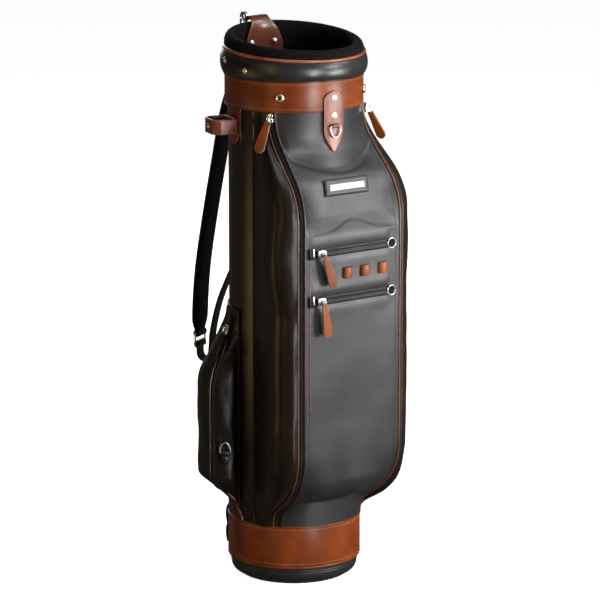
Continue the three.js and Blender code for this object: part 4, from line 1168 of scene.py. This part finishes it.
def build_side_pocket():
    low, high = SIDE_Z[0] - 4, SIDE_Z[1] + 6

    def relief(u, v, p):
        calm = smoothstep(min(u, 1 - u), 0, 0.1) * smoothstep(min(v, 1 - v), 0, 0.08)
        zip_calm = smoothstep(abs(u - SIDE_ZIP_U), 0.035, 0.08)
        return calm * zip_calm * (wobble(p, 0.016, 2.6) + wobble(p, 0.045, 0.7))

    shell = sheet(lambda u, v: side_point(u, mix(low, high, v)), 100, 130, 2.2, relief)
    body = remake("side_pocket", shell, GUSSET, sharp=60)
    line = lambda u, lift, zs: [raised(side_point, u, z, lift) for z in zs]
    # A chestnut panel at the pocket's foot, under a curved piping, in the darker chestnut: chestnut is its
    # own colour, its extra darkness is painted shade.
    foot_z = lambda u: 112 + 30 * cos(pi / 2 * smoothstep(abs(2 * u - 1), 0.45, 1.0))
    body.data.materials.append(SHADED_CHESTNUT)
    columns, count = 101, 101 * 131
    for polygon in body.data.polygons:
        place = min(polygon.vertices) % count
        if polygon.center.z / MM < foot_z((place % columns) / 100):
            polygon.material_index = 1
    curve = [raised(side_point, u, foot_z(u), 0.5) for u in np.linspace(0.01, 0.99, 120)]
    piece("side_pocket_foot_piping", tube(curve, 1.2, 8), PIPING)
    # The side pocket's front and back pipings take the darker copy of the piping leather: painted shade.
    for name, off, lift, zs, radius, material in (
        ("piping", 0.235, 0.4, np.linspace(130, 424, 100), 1.7, SHADED_PIPING),
        ("welt", 0.495, 0.3, np.linspace(116, 430, 90), 1.5, GLOSS),
    ):
        for side, u in (("front", 0.5 + off), ("back", 0.5 - off)):
            piece(f"side_pocket_{name}_{side}", tube(line(u, lift, zs), radius, 8), material)
    tape = sheet(lambda u, v: np.array(line(mix(0.775, 0.83, u), 1.5, [mix(140, 421.5, v)])[0]), 6, 90, 1.0)
    remake("pocket_zip", tape, TAPE)
    teeth = []
    for z in np.arange(143, 386, 2.1):
        p, q = line(SIDE_ZIP_U, 1.9, [z, z + 1])
        n = outward(side_point, SIDE_ZIP_U, z)
        along = unit(q - p)
        teeth.append(block(p, np.cross(n, along) * 2.4, n * 0.55, along * 0.55))
    piece("pocket_zip_teeth", merged(*teeth), PLASTIC)
    rounded("pocket_slider", NICKEL, 0.7)
    build_pull("pocket_pull", GLOSS)
    rounded("pocket_ring_tab", GLOSS, 0.4)
    ring_at = (0.89, 196)
    stud = dome(raised(side_point, *ring_at, 5.6), outward(side_point, *ring_at), 3.6, 2.2)
    piece("pocket_ring_stud", stud, STUD)
    subdivided("pocket_ring", STEEL)


# ---- Shoulder strap ----
STRAP_OUT = np.array([cos(radians(STRAP_DEG)), sin(radians(STRAP_DEG)), 0.0])
STRAP_SIDE = np.array([-STRAP_OUT[1], STRAP_OUT[0], 0.0])
PAD_LINE = [(0, 818), (14, 768), (30, 714), (42, 650), (58, 563), (73, 470), (79, 401), (80, 347)]
LOWER_LINE = [(80, 338), (79, 316), (69, 308), (60, 321), (56, 360), (44, 408), (26, 452), (8, 490), (0, 518)]


def strap_frame(line, v):
    """The strap's middle, its direction, and the normal that faces away from the bag."""
    def at(t):
        out, z = section_curve(line, t)
        return np.array([0, SWING_Y, 0]) + STRAP_OUT * out + UP * z

    along = unit(at(min(1, v + 0.004)) - at(max(0, v - 0.004)))
    return at(v), along, np.cross(STRAP_SIDE, along)


def build_strap():
    def pad_half(v):
        ends = min(1, v / 0.16, (1 - v) / 0.08)
        return mix(14, 26.5, ends * ends * (3 - 2 * ends))

    def loft(line, half_at, thick_at, around_steps, along_steps, power, ripple=None):
        vertices = []
        for j in range(along_steps + 1):
            v = j / along_steps
            centre, _, normal = strap_frame(line, v)
            half, thick = half_at(v), thick_at(v)
            for c, s in circle(around_steps):
                x = half * copysign(abs(c) ** 0.5, c)
                y = thick / 2 * copysign(abs(s) ** power, s)
                if ripple:
                    y += ripple(v, x / half, s)
                vertices.append(centre + STRAP_SIDE * x + normal * y)
        return vertices, strip(along_steps + 1, around_steps, False)

    def swell(v, x, face):
        # Sewn in along two rows near the edges, and gently dimpled along the middle.
        row = bell(abs(x) - 0.78, 0.06)
        return face * (-0.9 * row + 0.25 * sin(v * 60) * (1 - abs(x)))

    pad_thick = lambda v: mix(4.5, 8.6, smoothstep(min(v, 1 - v), 0.01, 0.12))
    pad = remake("strap_pad", loft(PAD_LINE, pad_half, pad_thick, 48, 150, 0.6, swell), SHADE, 75)
    lower = loft(LOWER_LINE, lambda v: 12.0, lambda v: 3.4, 20, 150, 0.35)
    remake("strap_lower", lower, GLOSS, 60)
    for name, sign in (("left", -1), ("right", 1)):
        for face, lift in (("outer", -1), ("inner", 1)):
            row = []
            for v in np.linspace(0.02, 0.98, 120):
                centre, _, normal = strap_frame(PAD_LINE, v)
                across = STRAP_SIDE * sign * pad_half(v) * 0.78
                row.append(centre + across + lift * normal * (pad_thick(v) / 2 * 0.78 - 0.3))
            sew(f"strap_thread_{name}_{face}", row, 4.2, 2.9, 0.36, body="strap")
    # The straps' folded ends, as short sleeves around the bars: name, place, half width and outer radius.
    for name, out, z, half, radius in (
        ("pad_top", 0, 813, 13.0, 4.5), ("pad_low", 80, 352, 13.0, 6.2),
        ("lower_start", 80, 334, 11.0, 6.2), ("lower_end", 0, 513, 11.0, 4.5),
    ):
        centre = np.array([0, SWING_Y, z]) + STRAP_OUT * out
        vertices, faces = [], []
        for r in (radius, 2.35):
            for s in (-half, half):
                vertices += [centre + STRAP_SIDE * s + (STRAP_OUT * a + UP * b) * r for a, b in circle(24)]
        for k in range(24):
            m = (k + 1) % 24
            faces += [(k, m, 24 + m, 24 + k), (48 + k, 72 + k, 72 + m, 48 + m)]
            faces += [(k, 48 + k, 48 + m, m), (24 + k, 24 + m, 72 + m, 72 + k)]
        piece(f"strap_fold_{name}", (vertices, faces), GLOSS, "strap")
    for name, v in (("upper", 0.055), ("lower", 0.955)):
        centre, _, normal = strap_frame(PAD_LINE, v)
        heads = []
        for side in (-1, 1):
            at = centre + STRAP_SIDE * side * 6 - normal * (pad_thick(v) / 2 - 0.2)
            heads.append(dome(at, -normal, 3.2, 1.8))
        piece(f"strap_rivets_{name}", merged(*heads), NICKEL, "strap")
    for node in ("strap_hook_upper", "strap_hook_lower"):
        rounded(node, STEEL, 0.5)
    for node in ("strap_ring_upper", "strap_ring_lower"):
        subdivided(node, STEEL)
    rounded("strap_link", STEEL, 0.5)
    rounded("strap_chape_lower", CHESTNUT, 0.5, 3)
    for name, x in (("left", -9), ("right", 9)):
        at = np.array([x, COVER_R + 4.1, CHAPE_Z])
        piece(f"chape_rivet_{name}", dome(at, np.array([0, 1.0, 0]), 3.4, 1.8), NICKEL)
    rounded("strap_lug", DARK_TAN, 0.8, 3)
    for node, x in (("lug_rivet_left", -22), ("lug_rivet_right", 22)):
        facing = unit(np.array([-2 * x / 170, -1.0, 0]))
        rivet(node, 4.6, np.array([x, 86.5 - x * x / 170, 833.0]) + facing * 2.9, facing, STUD)


def dress_hidden_nodes():
    for node in ("base_foot", "liner_tube", "top_hoop"):
        obj = frame["nodes"][node]
        obj.data.materials.clear()
        obj.data.materials.append(PLASTIC)


add_studio()
add_camera()
build_round_parts()
build_fur()
build_front_pocket()
build_face_zips()
build_side_sliders()
build_face_fittings()
build_collar_fittings()
build_umbrella_holder()
build_side_pocket()
build_strap()
dress_hidden_nodes()

as_lists = lambda corners: [[float(c) for c in corner] for corner in corners]
{"cad": as_lists(cad_box), "visual": as_lists(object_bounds())}
